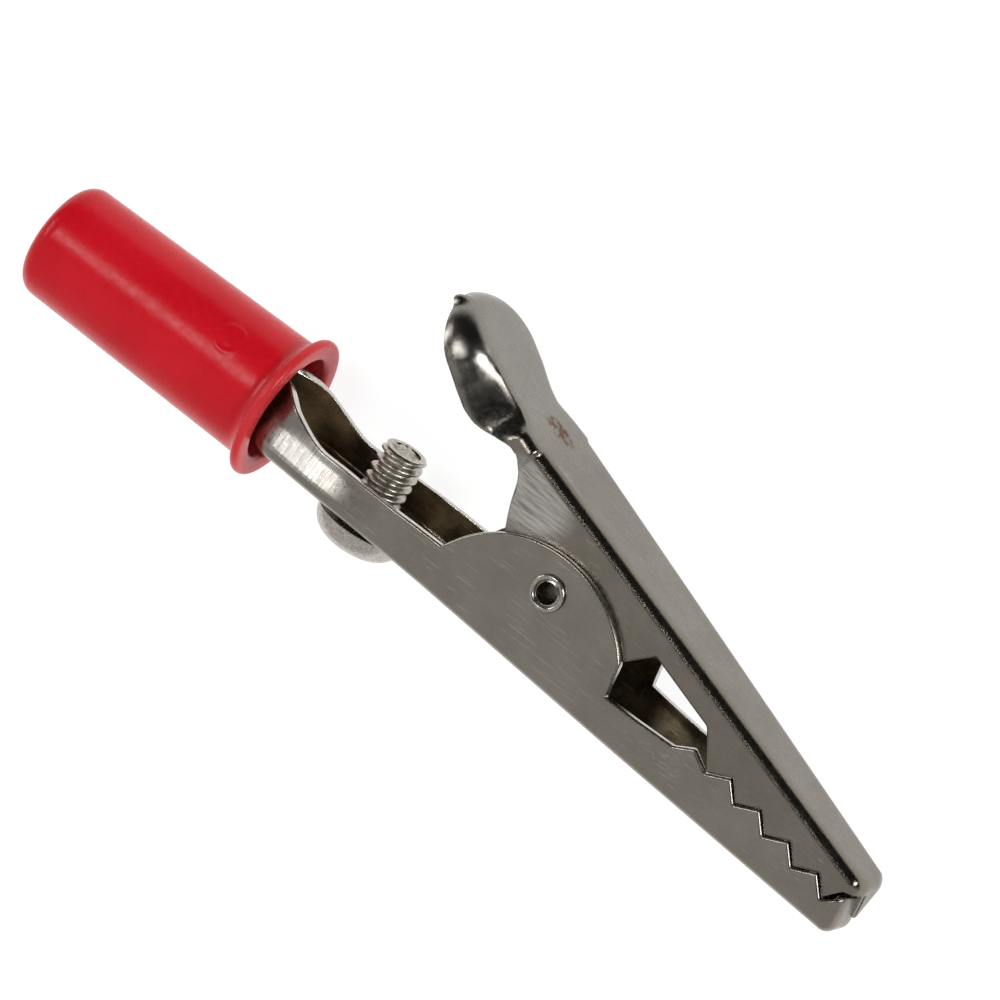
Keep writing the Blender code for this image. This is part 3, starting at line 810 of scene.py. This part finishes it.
def add_lever(skin, row, back):
    """Carry the plate up into the thumb lever, with its rim turned down on both sides."""
    corner = PLATE_BACK * BEND_BACK + PLATE_OUT * PLATE_HEIGHT
    run = LEVER_END_LENGTH - LEVER_END_RADIUS
    for distance in steps(back - BEND_BACK, run, LEVER_STEPS)[1:]:
        slope = blend(PLATE_SLOPE, LEVER_SLOPE,
                      eased(distance, -LEVER_BEND_REACH, LEVER_BEND_REACH))
        out = Vector((math.sin(slope), 0, math.cos(slope)))
        along_sheet = PLATE_BACK if distance < 0 else LEVER_BACK
        fill = max(0.0, LEVER_BEND_REACH - abs(distance)) ** 2 * LEVER_BEND_FILL
        origin = corner + along_sheet * distance + out * fill
        wide = along(UPPER_HALF_WIDTH, BEND_BACK + distance)
        near, far = lever_halves(wide, along(RIM_DEPTH, distance), eased(distance, *RIM_CHANGE),
                                 distance)
        # painted highlight: raise the fold values towards the lever's end
        rim_highlight = 1 + TIP_HIGHLIGHT * eased(distance, *TIP_HIGHLIGHT_START)
        after = upper_row(skin, origin, out, near, far, [fold * rim_highlight for fold in ROW_FOLDS])
        skin.join(row, after)
        row = after
    add_lever_end(skin, row, corner + LEVER_BACK * run,
                  along(UPPER_HALF_WIDTH, BEND_BACK + run))


def lever_halves(wide, rim, turn, distance):
    """The lever's near and far half sections: its rim is drawn down in a deep round bend."""
    foot = wide - (wide - cheek_foot(wide, rim)) * (1 - turn) ** 3
    near = channel_half(wide, rim, foot, along(NEAR_LEVER_REACH, distance),
                        min(along(NEAR_LEVER_DROP, distance), rim - LEAST_RIM),
                        math.radians(along(NEAR_LEVER_SWEEP, distance)))
    near = flatten_bend(near, eased(distance, *FLAT_RIM_START)
                        * (1 - eased(distance, *FLAT_RIM_END)))
    reach, drop = (blend(BEND_RADIUS, value, turn) for value in FAR_LEVER_BEND)
    far = channel_half(wide, rim, foot, reach, min(drop, rim - LEAST_RIM),
                       math.radians(blend(90, FAR_LEVER_SWEEP, turn)))
    return near, far


def flatten_bend(half, share):
    """Draw a half section's bend towards a small bend followed by a straight slope."""
    start, end = Vector(half[FLAT_STEPS]), Vector(half[FLAT_STEPS + BEND_STEPS])
    made = list(half)
    for i in range(1, BEND_STEPS):
        t = i / BEND_STEPS
        rise = t - SLOPE_EASE * (1 - math.exp(-t / SLOPE_EASE))
        straight = Vector((blend(start.x, end.x, t),
                           blend(start.y, end.y, rise / (1 - SLOPE_EASE))))
        made[FLAT_STEPS + i] = tuple(Vector(half[FLAT_STEPS + i]).lerp(straight, share))
    return made


def add_lever_end(skin, row, centre, wide):
    """Close the lever with a round end, turning the rim about the middle of the last row."""
    middle = len(row) // 2
    spoke = row[middle::-1]
    for i in range(1, LEVER_END_STEPS):
        share = i / LEVER_END_STEPS
        angle = math.pi * share
        rim = blend(LEVER_RIM, LEVER_END_RIM, math.sin(angle) ** 2)
        near, far = lever_halves(wide, rim, 1, LEVER_END_LENGTH)
        # painted highlight: raise the fold values round the start of the lever's round end
        rim_highlight = 1 + TIP_HIGHLIGHT * (1 - eased(angle, 0, TIP_HIGHLIGHT_TURN))
        burr = BURR_HEIGHT * hump(angle, BURR_ANGLE, BURR_TURN)
        points = []
        for (near_y, near_depth), (far_y, far_depth) in zip(near[1:], far[1:]):
            y = blend(near_y, far_y, share) + burr * eased(near_depth / rim, *BURR_DEPTHS)
            points.append(tuple(centre + Vector((0, -y * math.cos(angle), 0))
                                + LEVER_BACK * (y * math.sin(angle) * LEVER_END_RADIUS / wide)
                                - LEVER_OUT * blend(near_depth, far_depth, share)))
        after = skin.add_row(points, [fold * rim_highlight for fold in SPOKE_FOLDS[1:]])
        after.insert(0, row[middle])
        skin.join(after, spoke)
        spoke = after
    skin.join(row[middle:], spoke)


# ---------------------------------------------------------------- small parts

def pivot_eyelet():
    """A tubular rivet, flared and rolled over outside both ears."""
    reach = EAR_OUTER_Y + EYELET_STAND_OFF
    roll_height, roll_width = EYELET_ROLL
    profile = [(-reach, EYELET_RADIUS)]
    for angle in steps(math.radians(-40), math.radians(205), 16):
        profile.append((-reach - EYELET_LIP - roll_height * math.sin(angle),
                        EYELET_RADIUS + EYELET_FLARE + roll_width * math.cos(angle)))
    profile += [(-reach - EYELET_LIP, EYELET_BORE_RADIUS + EYELET_FLARE),
                (-reach + EYELET_LIP, EYELET_BORE_RADIUS)]
    mirrored = [(-shift, radius) for shift, radius in reversed(profile)]
    made = turned("pivot_eyelet_rolled", profile + mirrored, 72, (0, 0, 0), "Y")
    shade(made, 60)
    return made


def tube(name, path, radius, sides):
    """A round wire along a path of points, with flat ends."""
    points, rings, faces = [], [], []
    up = Vector((0, 1, 0))
    path = [Vector(p) for p in path]
    for i, point in enumerate(path):
        ahead = path[min(i + 1, len(path) - 1)] - path[max(i - 1, 0)]
        ahead.normalize()
        side = up.cross(ahead)
        if side.length < 1e-6:
            side = Vector((1, 0, 0))
        side.normalize()
        up = ahead.cross(side).normalized()
        rings.append(list(range(len(points), len(points) + sides)))
        for k in range(sides):
            angle = math.tau * k / sides
            points.append(point + (side * math.cos(angle) + up * math.sin(angle)) * radius)
    for ring, after in zip(rings, rings[1:]):
        faces += ring_faces(ring, after)
    for ring, point in ((rings[0], path[0]), (rings[-1], path[-1])):
        middle = len(points)
        points.append(point)
        faces += [[ring[k], ring[(k + 1) % sides], middle] for k in range(sides)]
    made = object_from(name, points, faces)
    face_outwards(made)
    shade(made, SHARP_DEGREES)
    return made


def torsion_spring():
    """A coil round the eyelet, whose legs bear on the inside of both jaws."""
    half_width = COIL_TURNS * COIL_PITCH / 2
    floor = along(LOWER_FLOOR, -LEG_REACH) + SHEET + WIRE_RADIUS + LOWER_LEG_GAP
    under = -COIL_RADIUS - LOWER_LEG_SLACK
    leg = curve_through([(-LEG_REACH, floor), (-LEG_REACH * 0.7, blend(floor, under, 0.5)),
                         (-LEG_REACH * 0.35, under), (0, -COIL_RADIUS)], 8)
    path = [(x, -half_width, z) for x, z in leg[:-1]]
    count = int(COIL_TURNS * 32)
    for i in range(count + 1):
        angle = math.tau * COIL_TURNS * i / count - math.pi / 2
        path.append((COIL_RADIUS * math.cos(angle), blend(-half_width, half_width, i / count),
                     COIL_RADIUS * math.sin(angle)))
    lift = PLATE_HEIGHT - SHEET - WIRE_RADIUS - UPPER_LEG_GAP
    end = PLATE_BACK * LEG_REACH + PLATE_OUT * lift
    leg = curve_through([(0, COIL_RADIUS), (-LEG_REACH * 0.3, COIL_RADIUS + UPPER_LEG_SLACK),
                         (end.x, end.z)], 10)
    path += [(x, half_width, z) for x, z in leg[1:]]
    return tube("torsion_spring_wire", path, WIRE_RADIUS, 16)


def terminal_screw():
    """A pan-head screw with a real helical thread and a sheared, untidy end."""
    profile = [(-SCREW_HEAD_HEIGHT, 0)]
    for angle in steps(DOME_ANGLE, 0, 14):
        profile.append((-SCREW_HEAD_HEIGHT * math.sin(angle) * 0.97 - DOME_RIM,
                        SCREW_HEAD_RADIUS * blend(1, math.cos(angle), DOME_SHARE)))
    profile += [(0, SCREW_HEAD_RADIUS - DOME_RIM), (0, NECK_RADIUS)]
    profile += [(NECK_LENGTH, NECK_RADIUS), (NECK_LENGTH, 0)]
    centre = (SCREW_X, 0, SCREW_SEAT_Z)
    head = turned("terminal_screw_head", profile, 96, centre, "Z")
    cut_box(head, (SCREW_X, 0, SCREW_SEAT_Z - SCREW_HEAD_HEIGHT),
            (SLOT_WIDTH, SCREW_HEAD_RADIUS * 3, SLOT_DEPTH * 2),
            Matrix.Rotation(SLOT_TURN, 3, "Z"))
    change = head.modifiers.new("edges", "BEVEL")
    change.limit_method = "ANGLE"
    change.angle_limit = math.radians(50)
    change.width = HEAD_ROUND * MM
    change.segments = 2
    change.use_clamp_overlap = False
    apply_modifiers(head)
    shade(head, 40)
    return head, screw_thread()


def screw_thread():
    """The thread as rows that climb one pitch a turn, clipped flat at both ends."""
    bottom, top = SCREW_SEAT_Z + THREAD_START, SCREW_TIP_Z
    turns = (top - bottom) / THREAD_PITCH
    points, rows, faces = [], [], []
    for r in range(int((turns + 2) * THREAD_ROWS)):
        climb = r / THREAD_ROWS
        depth = THREAD_DEPTH * eased(abs(climb % 1.0 - 0.5) * 2, *GROOVE_SIDES)
        row = []
        for s in range(THREAD_SIDES + 1):
            z = bottom + THREAD_PITCH * (climb + s / THREAD_SIDES - 1)
            z = min(max(z, bottom), top)
            angle = math.tau * s / THREAD_SIDES
            wear = noise.noise(Vector((math.cos(angle) * 2, math.sin(angle) * 2, z * 3)))
            radius = THREAD_RADIUS - depth + THREAD_WEAR * wear
            radius -= TIP_SHRINK * eased(z, top - TIP_TAPER, top) ** 2
            row.append(len(points))
            points.append((SCREW_X + radius * math.cos(angle), radius * math.sin(angle), z))
        rows.append(row)
    for row, after in zip(rows, rows[1:]):
        for s in range(THREAD_SIDES):
            faces.append([row[s], row[s + 1], after[s + 1], after[s]])
    add_thread_end(points, faces, rows[-1], top, SHEAR_DENT)
    add_thread_end(points, faces, rows[0], bottom, 0.0)
    made = object_from("terminal_screw_thread", points, faces)
    face_outwards(made, gap=0.002)
    shade(made, 60)
    return made


def add_thread_end(points, faces, edge, z, roughness):
    """Close an end with rings that dent at random, like a sheared blank."""
    rim = edge[:-1]
    last = rim
    for share in (0.9, 0.74, 0.58, 0.42, 0.26, 0.1):
        ring = []
        for index in rim:
            x, y, _ = points[index]
            x, y = SCREW_X + (x - SCREW_X) * share, y * share
            dent = noise.fractal(Vector((x * 1.1, y * 1.1, 5.2)), 0.8, 2.0, 4)
            ring.append(len(points))
            points.append((x, y, z + roughness * max(-0.5, min(0.5, dent)) * (1 - share ** 4)))
        faces += ring_faces(last, ring)
        last = ring
    faces.append(last)


def insulating_handle():
    """A moulded sleeve with a flange in front, a bore over the barrel and a hole for the lead."""
    length = HANDLE_FRONT_X - HANDLE_REAR_X
    barrel_end = length - FLANGE_THICK - 0.9
    grip_rear = BARREL_REAR_X - HANDLE_REAR_X - 0.3
    grip_radius = BARREL_RADIUS + GRIP_PLAY
    lip = FLANGE_THICK / 2
    profile = [(0, HANDLE_REAR_HOLE)]
    for angle in steps(math.pi / 2, 0, 12):
        profile.append((HANDLE_EDGE * (1 - math.sin(angle)),
                        HANDLE_REAR_RADIUS - HANDLE_EDGE * (1 - math.cos(angle))))
    for t in steps(0, 1, BARREL_STEPS)[1:]:
        profile.append((blend(HANDLE_EDGE, barrel_end, t),
                        blend(HANDLE_REAR_RADIUS, HANDLE_FRONT_RADIUS, t)))
    for angle in steps(0, math.radians(80), 8)[1:]:
        profile.append((barrel_end + FLANGE_FILLET[0] * math.sin(angle),
                        HANDLE_FRONT_RADIUS + FLANGE_FILLET[1] * (1 - math.cos(angle))))
    for angle in steps(math.radians(110), math.radians(-90), 12):
        profile.append((length - lip - lip * math.sin(angle) * 0.95,
                        FLANGE_RADIUS - FLANGE_ROUND * (1 - math.cos(angle))))
    profile += [(length, MOUTH_RADIUS + MOUTH_ROUND), (length - 0.05, MOUTH_RADIUS + 0.12),
                (length - MOUTH_ROUND, MOUTH_RADIUS), (length - MOUTH_DEPTH, MOUTH_RADIUS - 0.3),
                (length - GRIP_DEPTH, grip_radius), (grip_rear, grip_radius),
                (grip_rear - 0.6, HANDLE_BORE), (HANDLE_REAR_WALL, HANDLE_BORE),
                (HANDLE_REAR_WALL, HANDLE_REAR_HOLE)]
    made = turned("insulating_handle_vinyl", profile, 192, (HANDLE_REAR_X, 0, HANDLE_Z), "X")
    mould_marks(made)
    shade(made, SHARP_DEGREES)
    return made


def mould_marks(made):
    """Raise a faint round gate mark on the handle's side and sink its skin in soft waves."""
    middle = place((0, 0, HANDLE_Z))
    mark = place(GATE_MARK)
    for vertex in made.data.vertices:
        out = Vector((0, vertex.co.y - middle.y, vertex.co.z - middle.z))
        if out.length / MM < MOUTH_RADIUS:
            continue
        far = (vertex.co - mark).length / MM
        lift = GATE_HEIGHT * (hump(far, *GATE_RING) + 0.5 * hump(far, *GATE_DOT))
        wave = sum(noise.noise(vertex.co / MM * fine) * deep for fine, deep in WAVES)
        vertex.co += out.normalized() * (lift + min(wave, 0.0)) * MM


# ---------------------------------------------------------------- materials

class Nodes:
    """A node tree, with short ways to add to it."""

    def __init__(self, tree):
        self.tree = tree

    def node(self, kind, **settings):
        made = self.tree.nodes.new(kind)
        for key, value in settings.items():
            setattr(made, key, value)
        return made

    def feed(self, socket, value):
        """Set a socket to a number or a colour, or link an output to it."""
        if isinstance(value, tuple):
            socket.default_value = (*value, 1.0)
        elif isinstance(value, (int, float)):
            socket.default_value = value
        else:
            self.tree.links.new(value, socket)

    def range(self, value, low, high, to_low=0.0, to_high=1.0):
        made = self.node("ShaderNodeMapRange", clamp=True, interpolation_type="SMOOTHSTEP")
        for socket, number in zip(made.inputs, (value, low, high, to_low, to_high)):
            self.feed(socket, number)
        return made.outputs["Result"]

    def math(self, operation, a, b):
        made = self.node("ShaderNodeMath", operation=operation)
        self.feed(made.inputs[0], a)
        self.feed(made.inputs[1], b)
        return made.outputs[0]

    def times(self, a, b):
        return self.math("MULTIPLY", a, b)

    def mix(self, share, a, b):
        made = self.node("ShaderNodeMix", data_type="RGBA")
        for index, value in ((0, share), (6, a), (7, b)):
            self.feed(made.inputs[index], value)
        return made.outputs[2]

    def vector(self, operation, a, b):
        """The outputs of a vector sum, such as the difference, of a linked and a fixed vector."""
        made = self.node("ShaderNodeVectorMath", operation=operation)
        self.feed(made.inputs[0], a)
        made.inputs[1].default_value = b
        return made.outputs


class Paint(Nodes):
    """A node material under construction, in millimetres."""

    def __init__(self, name):
        self.material = bpy.data.materials.new(name)
        self.material.use_nodes = True
        super().__init__(self.material.node_tree)
        self.shader = self.tree.nodes["Principled BSDF"]
        place_on = self.node("ShaderNodeTexCoord").outputs["Object"]
        scaled = self.node("ShaderNodeVectorMath", operation="SCALE")
        self.feed(scaled.inputs[0], place_on)
        self.feed(scaled.inputs["Scale"], 1 / MM)
        self.millimetres = scaled.outputs[0]

    def coords(self, stretch=(1, 1, 1), turn=(0, 0, 0)):
        made = self.node("ShaderNodeMapping")
        self.feed(made.inputs["Vector"], self.millimetres)
        made.inputs["Scale"].default_value = stretch
        made.inputs["Rotation"].default_value = [math.radians(a) for a in turn]
        return made.outputs[0]

    def noise(self, scale, detail=3.0, rough=0.55, vector=None):
        made = self.node("ShaderNodeTexNoise")
        for key, value in (("Scale", scale), ("Detail", detail), ("Roughness", rough),
                           ("Vector", vector or self.coords())):
            self.feed(made.inputs[key], value)
        return made.outputs["Fac"]

    def patches(self, scale, detail, rough, low=0.0, high=1.0):
        """Soft noise spread from a low to a high value."""
        return self.range(self.noise(scale, detail, rough), 0.3, 0.7, low, high)

    def bump(self, height, strength, distance, below=None):
        made = self.node("ShaderNodeBump")
        for key, value in (("Strength", strength), ("Distance", distance * MM),
                           ("Height", height)):
            self.feed(made.inputs[key], value)
        if below:
            self.feed(made.inputs["Normal"], below)
        return made.outputs[0]

    def set(self, name, value):
        self.feed(self.shader.inputs[name], value)

    def near(self, point, sizes):
        """1 at a point of the clip and 0 beyond the given half sizes, along the model's axes."""
        away = self.vector("SUBTRACT", self.millimetres, place(point) / MM)[0]
        away = self.vector("DIVIDE", away, sizes)[0]
        length = self.node("ShaderNodeVectorMath", operation="LENGTH")
        self.feed(length.inputs[0], away)
        return self.range(length.outputs["Value"], 1.0, 0.55)


def scratches(paint, first_turn, density):
    """Fine straight scratches, as a mask, in two directions."""
    masks = []
    for turn in (first_turn, first_turn + 64):
        fine = paint.noise(1.0, 2.0, 0.5, paint.coords((0.28, 13, 13), (0, 0, turn)))
        lines = paint.range(fine, density, density + 0.03)
        breaks = paint.range(paint.noise(0.55, 1.0, 0.5, paint.coords((1, 1, 1), (20, 0, turn))),
                             0.5, 0.62)
        masks.append(paint.times(lines, breaks))
    return paint.math("MAXIMUM", *masks)


def nickel(name, light, dark, scratch_turn=38, wear_and_highlight=None, metallic=1.0, roughness=0.3,
           stain=None, lever=None):
    """Satin nickel plate: cloudy tone, fine grain, scratches and glossier bends, with a painted
    highlight on the lever rim's bends; it may add a painted highlight patch with streaks, a
    painted sheen over the lever and a stain.
    """
    paint = Paint(name)
    fold = paint.node("ShaderNodeAttribute", attribute_name="fold").outputs["Fac"]
    flat = paint.range(fold, 0.0, 0.4, 1.0, 0.0)
    colour = paint.mix(paint.patches(0.35, 4.0, 0.6), dark, light)
    # painted sheen: the colour turns paler round the lever, for the light the lever catches
    if lever:
        paler = paint.near(lever, (8.5, 8.5, 8.5))
        colour = paint.mix(paint.times(paler, 0.5), colour, (0.3, 0.29, 0.272))
    colour = paint.mix(paint.patches(22.0, 2.0, 0.6, 0.0, 0.6), colour,
                       tuple(c * 0.68 for c in dark))
    # painted highlight: a pale streaked patch round a given point, for the light the surface
    # catches there; its streaks also raise a bump
    if wear_and_highlight:
        point, sizes, stretch, share = wear_and_highlight
        lines = paint.range(paint.noise(1.0, 3.0, 0.6, paint.coords(stretch)), 0.2, 0.68)
        brushed_highlight = paint.times(paint.times(lines, flat), paint.near(point, sizes))
        colour = paint.mix(paint.times(brushed_highlight, share), colour, (0.85, 0.82, 0.78))
    marks = paint.times(scratches(paint, scratch_turn, 0.64), flat)
    colour = paint.mix(paint.times(marks, 0.4), colour, tuple(min(1.0, c * 1.7) for c in light))
    # painted highlight: where fold values pass 1, on the lever rim's bends, the colour turns pale
    colour = paint.mix(paint.range(fold, 1.0, 1.7), colour, (0.7, 0.67, 0.62))
    rough = paint.patches(3.0, 3.0, 0.6, roughness * 0.85, roughness * 1.15)
    burnished = paint.times(paint.math("MINIMUM", fold, 1.0), roughness * 0.5)
    rough = paint.math("SUBTRACT", rough, burnished)
    if stain:
        patch = paint.near(stain, (1.5, 1.15, 1.0))
        fibres = paint.range(paint.noise(2.6, 5.0, 0.75), 0.43, 0.53)
        patch = paint.times(patch, fibres)
        colour = paint.mix(paint.times(patch, 0.9), colour, (0.14, 0.07, 0.035))
        rough = paint.math("ADD", rough, paint.times(patch, 0.25))
    paint.set("Base Color", colour)
    paint.set("Roughness", rough)
    paint.set("Metallic", metallic)
    normal = paint.bump(paint.noise(16.0, 3.0, 0.65), 0.3, 0.006)
    if wear_and_highlight:
        normal = paint.bump(brushed_highlight, 0.3, 0.012, normal)
    normal = paint.bump(paint.noise(0.9, 2.0, 0.5), 0.2, 0.03, normal)
    dents = paint.times(paint.noise(7.0, 4.0, 0.75), paint.range(fold, 0.2, 0.8))
    paint.set("Normal", paint.bump(dents, 0.4, 0.035, normal))
    return paint.material


def cut_edge_steel_and_highlight(name):
    """Sheared edge of the sheet: a bright base, partly the bare steel and partly a painted
    highlight, with fine lines across its thickness.
    """
    paint = Paint(name)
    grain = paint.noise(9.0, 3.0, 0.6)
    paint.set("Base Color", paint.mix(paint.range(grain, 0.3, 0.7), (0.44, 0.42, 0.38),
                                      (0.7, 0.67, 0.62)))
    paint.set("Roughness", paint.patches(5.0, 2.0, 0.55, 0.14, 0.3))
    paint.set("Metallic", 1.0)
    paint.set("Normal", paint.bump(grain, 0.5, 0.02))
    return paint.material


def screw_steel(name, dark, light, roughness):
    """Bright zinc-plated steel with small dings."""
    paint = Paint(name)
    grain = paint.noise(6.0, 4.0, 0.65)
    paint.set("Base Color", paint.mix(paint.range(grain, 0.35, 0.65), dark, light))
    paint.set("Roughness", paint.patches(4.0, 3.0, 0.55, roughness * 0.7, roughness * 1.3))
    paint.set("Metallic", 1.0)
    normal = paint.bump(grain, 0.4, 0.008)
    paint.set("Normal", paint.bump(paint.noise(2.2, 2.0), 0.5, 0.03, normal))
    return paint.material


def spring_steel(name):
    """Darker drawn wire."""
    paint = Paint(name)
    grain = paint.noise(14.0, 3.0, 0.6, paint.coords((1, 1, 6)))
    paint.set("Base Color", paint.mix(paint.range(grain, 0.3, 0.7), (0.2, 0.19, 0.18),
                                      (0.38, 0.37, 0.35)))
    paint.set("Roughness", paint.patches(6.0, 3.0, 0.55, 0.25, 0.42))
    paint.set("Metallic", 1.0)
    paint.set("Normal", paint.bump(grain, 0.3, 0.01))
    return paint.material


def vinyl(name):
    """Soft moulded vinyl: saturated red with paler worn patches, a flange painted paler for the
    light through it, and tiny dark specks.
    """
    paint = Paint(name)
    colour = paint.mix(paint.patches(0.22, 4.0, 0.6), (0.56, 0.0045, 0.012),
                       (0.62, 0.008, 0.018))
    wear_and_highlight = paint.range(paint.noise(0.9, 6.0, 0.7, paint.coords((1, 3, 3))), 0.55, 0.75)
    colour = paint.mix(paint.times(wear_and_highlight, 0.1), colour, (0.66, 0.05, 0.06))
    # painted light: the flange turns paler and pinker, for the light that shines through its thin
    # rim
    flange = paint.near((HANDLE_FRONT_X - 0.2, 0, HANDLE_Z), (1.5, 6.2, 6.2))
    colour = paint.mix(paint.times(flange, 0.5), colour, (0.62, 0.085, 0.085))
    specks = paint.range(paint.noise(5.5, 2.0, 0.5), 0.765, 0.79)
    paint.set("Base Color", paint.mix(specks, colour, (0.1, 0.004, 0.006)))
    paint.set("Roughness", paint.patches(2.5, 4.0, 0.65, 0.2, 0.32))
    paint.set("Subsurface Weight", 0.2)
    paint.set("Subsurface Scale", 0.8 * MM)
    paint.shader.inputs["Subsurface Radius"].default_value = (1.0, 0.25, 0.18)
    paint.set("Specular IOR Level", 0.17)
    fine = paint.bump(paint.noise(6.0, 4.0, 0.7), 0.25, 0.02)
    paint.set("Normal", paint.bump(paint.noise(0.8, 3.0, 0.5), 0.25, 0.05, fine))
    return paint.material


def floor_paint():
    """Pale matt paper that glows a little, so that it is nearly white."""
    paint = Paint("floor_paint")
    paint.set("Base Color", paint.mix(paint.patches(0.02, 2.0, 0.55), (0.28, 0.28, 0.28),
                                      (0.3, 0.3, 0.3)))
    paint.set("Roughness", 0.9)
    paint.set("Specular IOR Level", 0.1)
    paint.set("Emission Color", (1.0, 1.0, 1.0))
    paint.set("Emission Strength", 0.9)
    return paint.material


# ---------------------------------------------------------------- studio

def aim(thing, position, target):
    """Put a thing at a position, looking at the target."""
    thing.location = position
    thing.rotation_mode = "QUATERNION"
    thing.rotation_quaternion = (target - position).to_track_quat("-Z", "Y")


def camera():
    back = CAMERA_BACK.normalized()
    right = CAMERA_UP.cross(back).normalized()
    up = back.cross(right).normalized()
    data = bpy.data.cameras.new("camera")
    data.lens = LENS
    data.sensor_width = SENSOR
    data.clip_end = 20
    position = PIVOT + (CAMERA_AIM + back * VIEW_WIDTH * LENS / SENSOR) * MM
    made = bpy.data.objects.new("camera", data)
    made.matrix_world = (Matrix.Translation(position)
                         @ Matrix((right, up, back)).transposed().to_4x4())
    bpy.context.scene.collection.objects.link(made)
    bpy.context.scene.camera = made


def direction(azimuth, elevation):
    """Unit vector towards an azimuth and an elevation in degrees."""
    a, e = math.radians(azimuth), math.radians(elevation)
    return Vector((math.cos(a) * math.cos(e), math.sin(a) * math.cos(e), math.sin(e)))


def softbox(name, azimuth, elevation, size, power):
    """A rectangular light at the lights' distance, aimed at the clip."""
    data = bpy.data.lights.new(name, "AREA")
    data.shape = "RECTANGLE"
    data.size, data.size_y = size
    data.energy = power
    made = bpy.data.objects.new(name, data)
    aim(made, direction(azimuth, elevation) * LIGHT_DISTANCE, Vector((0, 0, 0.005)))
    bpy.context.scene.collection.objects.link(made)


def studio():
    """Three soft lights, the sky and the floor."""
    softbox("key", 35, 27, (0.26, 0.26), 4.6)
    softbox("fill", 132, 63, (0.28, 0.17), 1.75)
    softbox("rim_light", 170, 24, (0.32, 0.32), 2.0)
    sky()
    lay_floor()
    bpy.context.scene.view_settings.view_transform = "Standard"


def sky():
    """A world that is bright on the -Y side and dark on the +Y side, but white to the camera."""
    world = bpy.data.worlds.new("studio")
    world.use_nodes = True
    nodes = Nodes(world.node_tree)
    facing = nodes.vector("DOT_PRODUCT", nodes.node("ShaderNodeTexCoord").outputs["Generated"],
                          (0.0, 1.0, 0.0))
    glow = nodes.range(facing["Value"], -0.2, 0.16, 0.74, 0.035)
    seen = nodes.node("ShaderNodeLightPath").outputs["Is Camera Ray"]
    nodes.feed(world.node_tree.nodes["Background"].inputs["Color"],
               nodes.math("MAXIMUM", glow, seen))
    bpy.context.scene.world = world


def lay_floor():
    half = FLOOR_SIZE / 2
    floor = bpy.data.meshes.new("floor")
    floor.from_pydata([(-half, -half, 0), (half, -half, 0), (half, half, 0), (-half, half, 0)],
                      [], [(0, 1, 2, 3)])
    floor.materials.append(floor_paint())
    made = bpy.data.objects.new("floor", floor)
    bpy.context.scene.collection.objects.link(made)


# ---------------------------------------------------------------- assembly

def dress(made, paints, body, slot, *nodes):
    """Paint a piece, tell the frame its body by attaching it, and hide the CAD nodes it stands
    for; the slot is not used.
    """
    slots = made.data.materials
    for index, paint in enumerate(paints):
        if index == len(slots):
            slots.append(None)
        slots[index] = paint
    if nodes:
        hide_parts(*nodes)
    if body:
        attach(made, body)


def main():
    """Build, paint and place everything."""
    camera()
    studio()
    # The lower jaw's paint has a painted highlight patch with streaks on the tail's near wall
    outer = nickel("nickel_outside", (0.28, 0.255, 0.222), (0.235, 0.211, 0.18),
                   wear_and_highlight=((-16.6, -3.4, -2.6), (3.6, 1.5, 2.5), (9.0, 0.5, 0.5), 0.5))
    # The upper jaw's nickel is a darker copy of the lower jaw's: painted shade against its
    # plate's reflection of the bright floor, with a painted highlight patch on the near cheek, a
    # painted sheen over the lever and a stain
    shaded_and_stained_nickel = nickel("nickel_outside_lever", (0.235, 0.211, 0.178), (0.195, 0.173, 0.143), 112,
                     wear_and_highlight=((-3.8, -3.4, 3.9), (3.4, 2.8, 2.5), (0.6, 9.0, 0.6), 0.45),
                     stain=(-5.74, 0.47, 6.85), lever=(-11.5, 0, 9.4))
    # The channels' insides are the same plating painted brown and darker: painted shade and
    # inter-reflection
    inner = nickel("nickel_inside", (0.52, 0.4, 0.24), (0.06, 0.046, 0.03), 80, metallic=0.7,
                   roughness=0.36)
    edge = cut_edge_steel_and_highlight("nickel_cut_edge")
    rivet_paint = screw_steel("bright_nickel", (0.27, 0.248, 0.218), (0.42, 0.39, 0.35), 0.27)
    # The head and the thread are copies of the screw's one plating, with the thread's paler:
    # painted light
    head_paint = screw_steel("screw_plating", (0.33, 0.3, 0.265), (0.5, 0.465, 0.42), 0.27)
    thread_paint = screw_steel("thread_plating", (0.4, 0.365, 0.32), (0.6, 0.56, 0.5), 0.38)
    dress(lower_jaw(), (outer, inner, edge), "fixed_jaw", "nickel_plate", "lower_jaw")
    dress(upper_jaw(), (shaded_and_stained_nickel, inner, edge), "moving_jaw", "nickel_plate", "upper_jaw")
    dress(pivot_eyelet(), (rivet_paint,), "fixed_jaw", "bright_nickel", "pivot_eyelet")
    head, thread = terminal_screw()
    dress(head, (head_paint,), "screw", "screw_steel", "terminal_screw")
    dress(thread, (thread_paint,), "screw", "screw_steel")
    dress(insulating_handle(), (vinyl("red_vinyl"),), "handle", "red_vinyl",
          "insulating_handle")
    spring = torsion_spring()
    dress(spring, (spring_steel("spring_wire"),), None, "spring_steel", "torsion_spring")
    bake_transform(spring)


main()
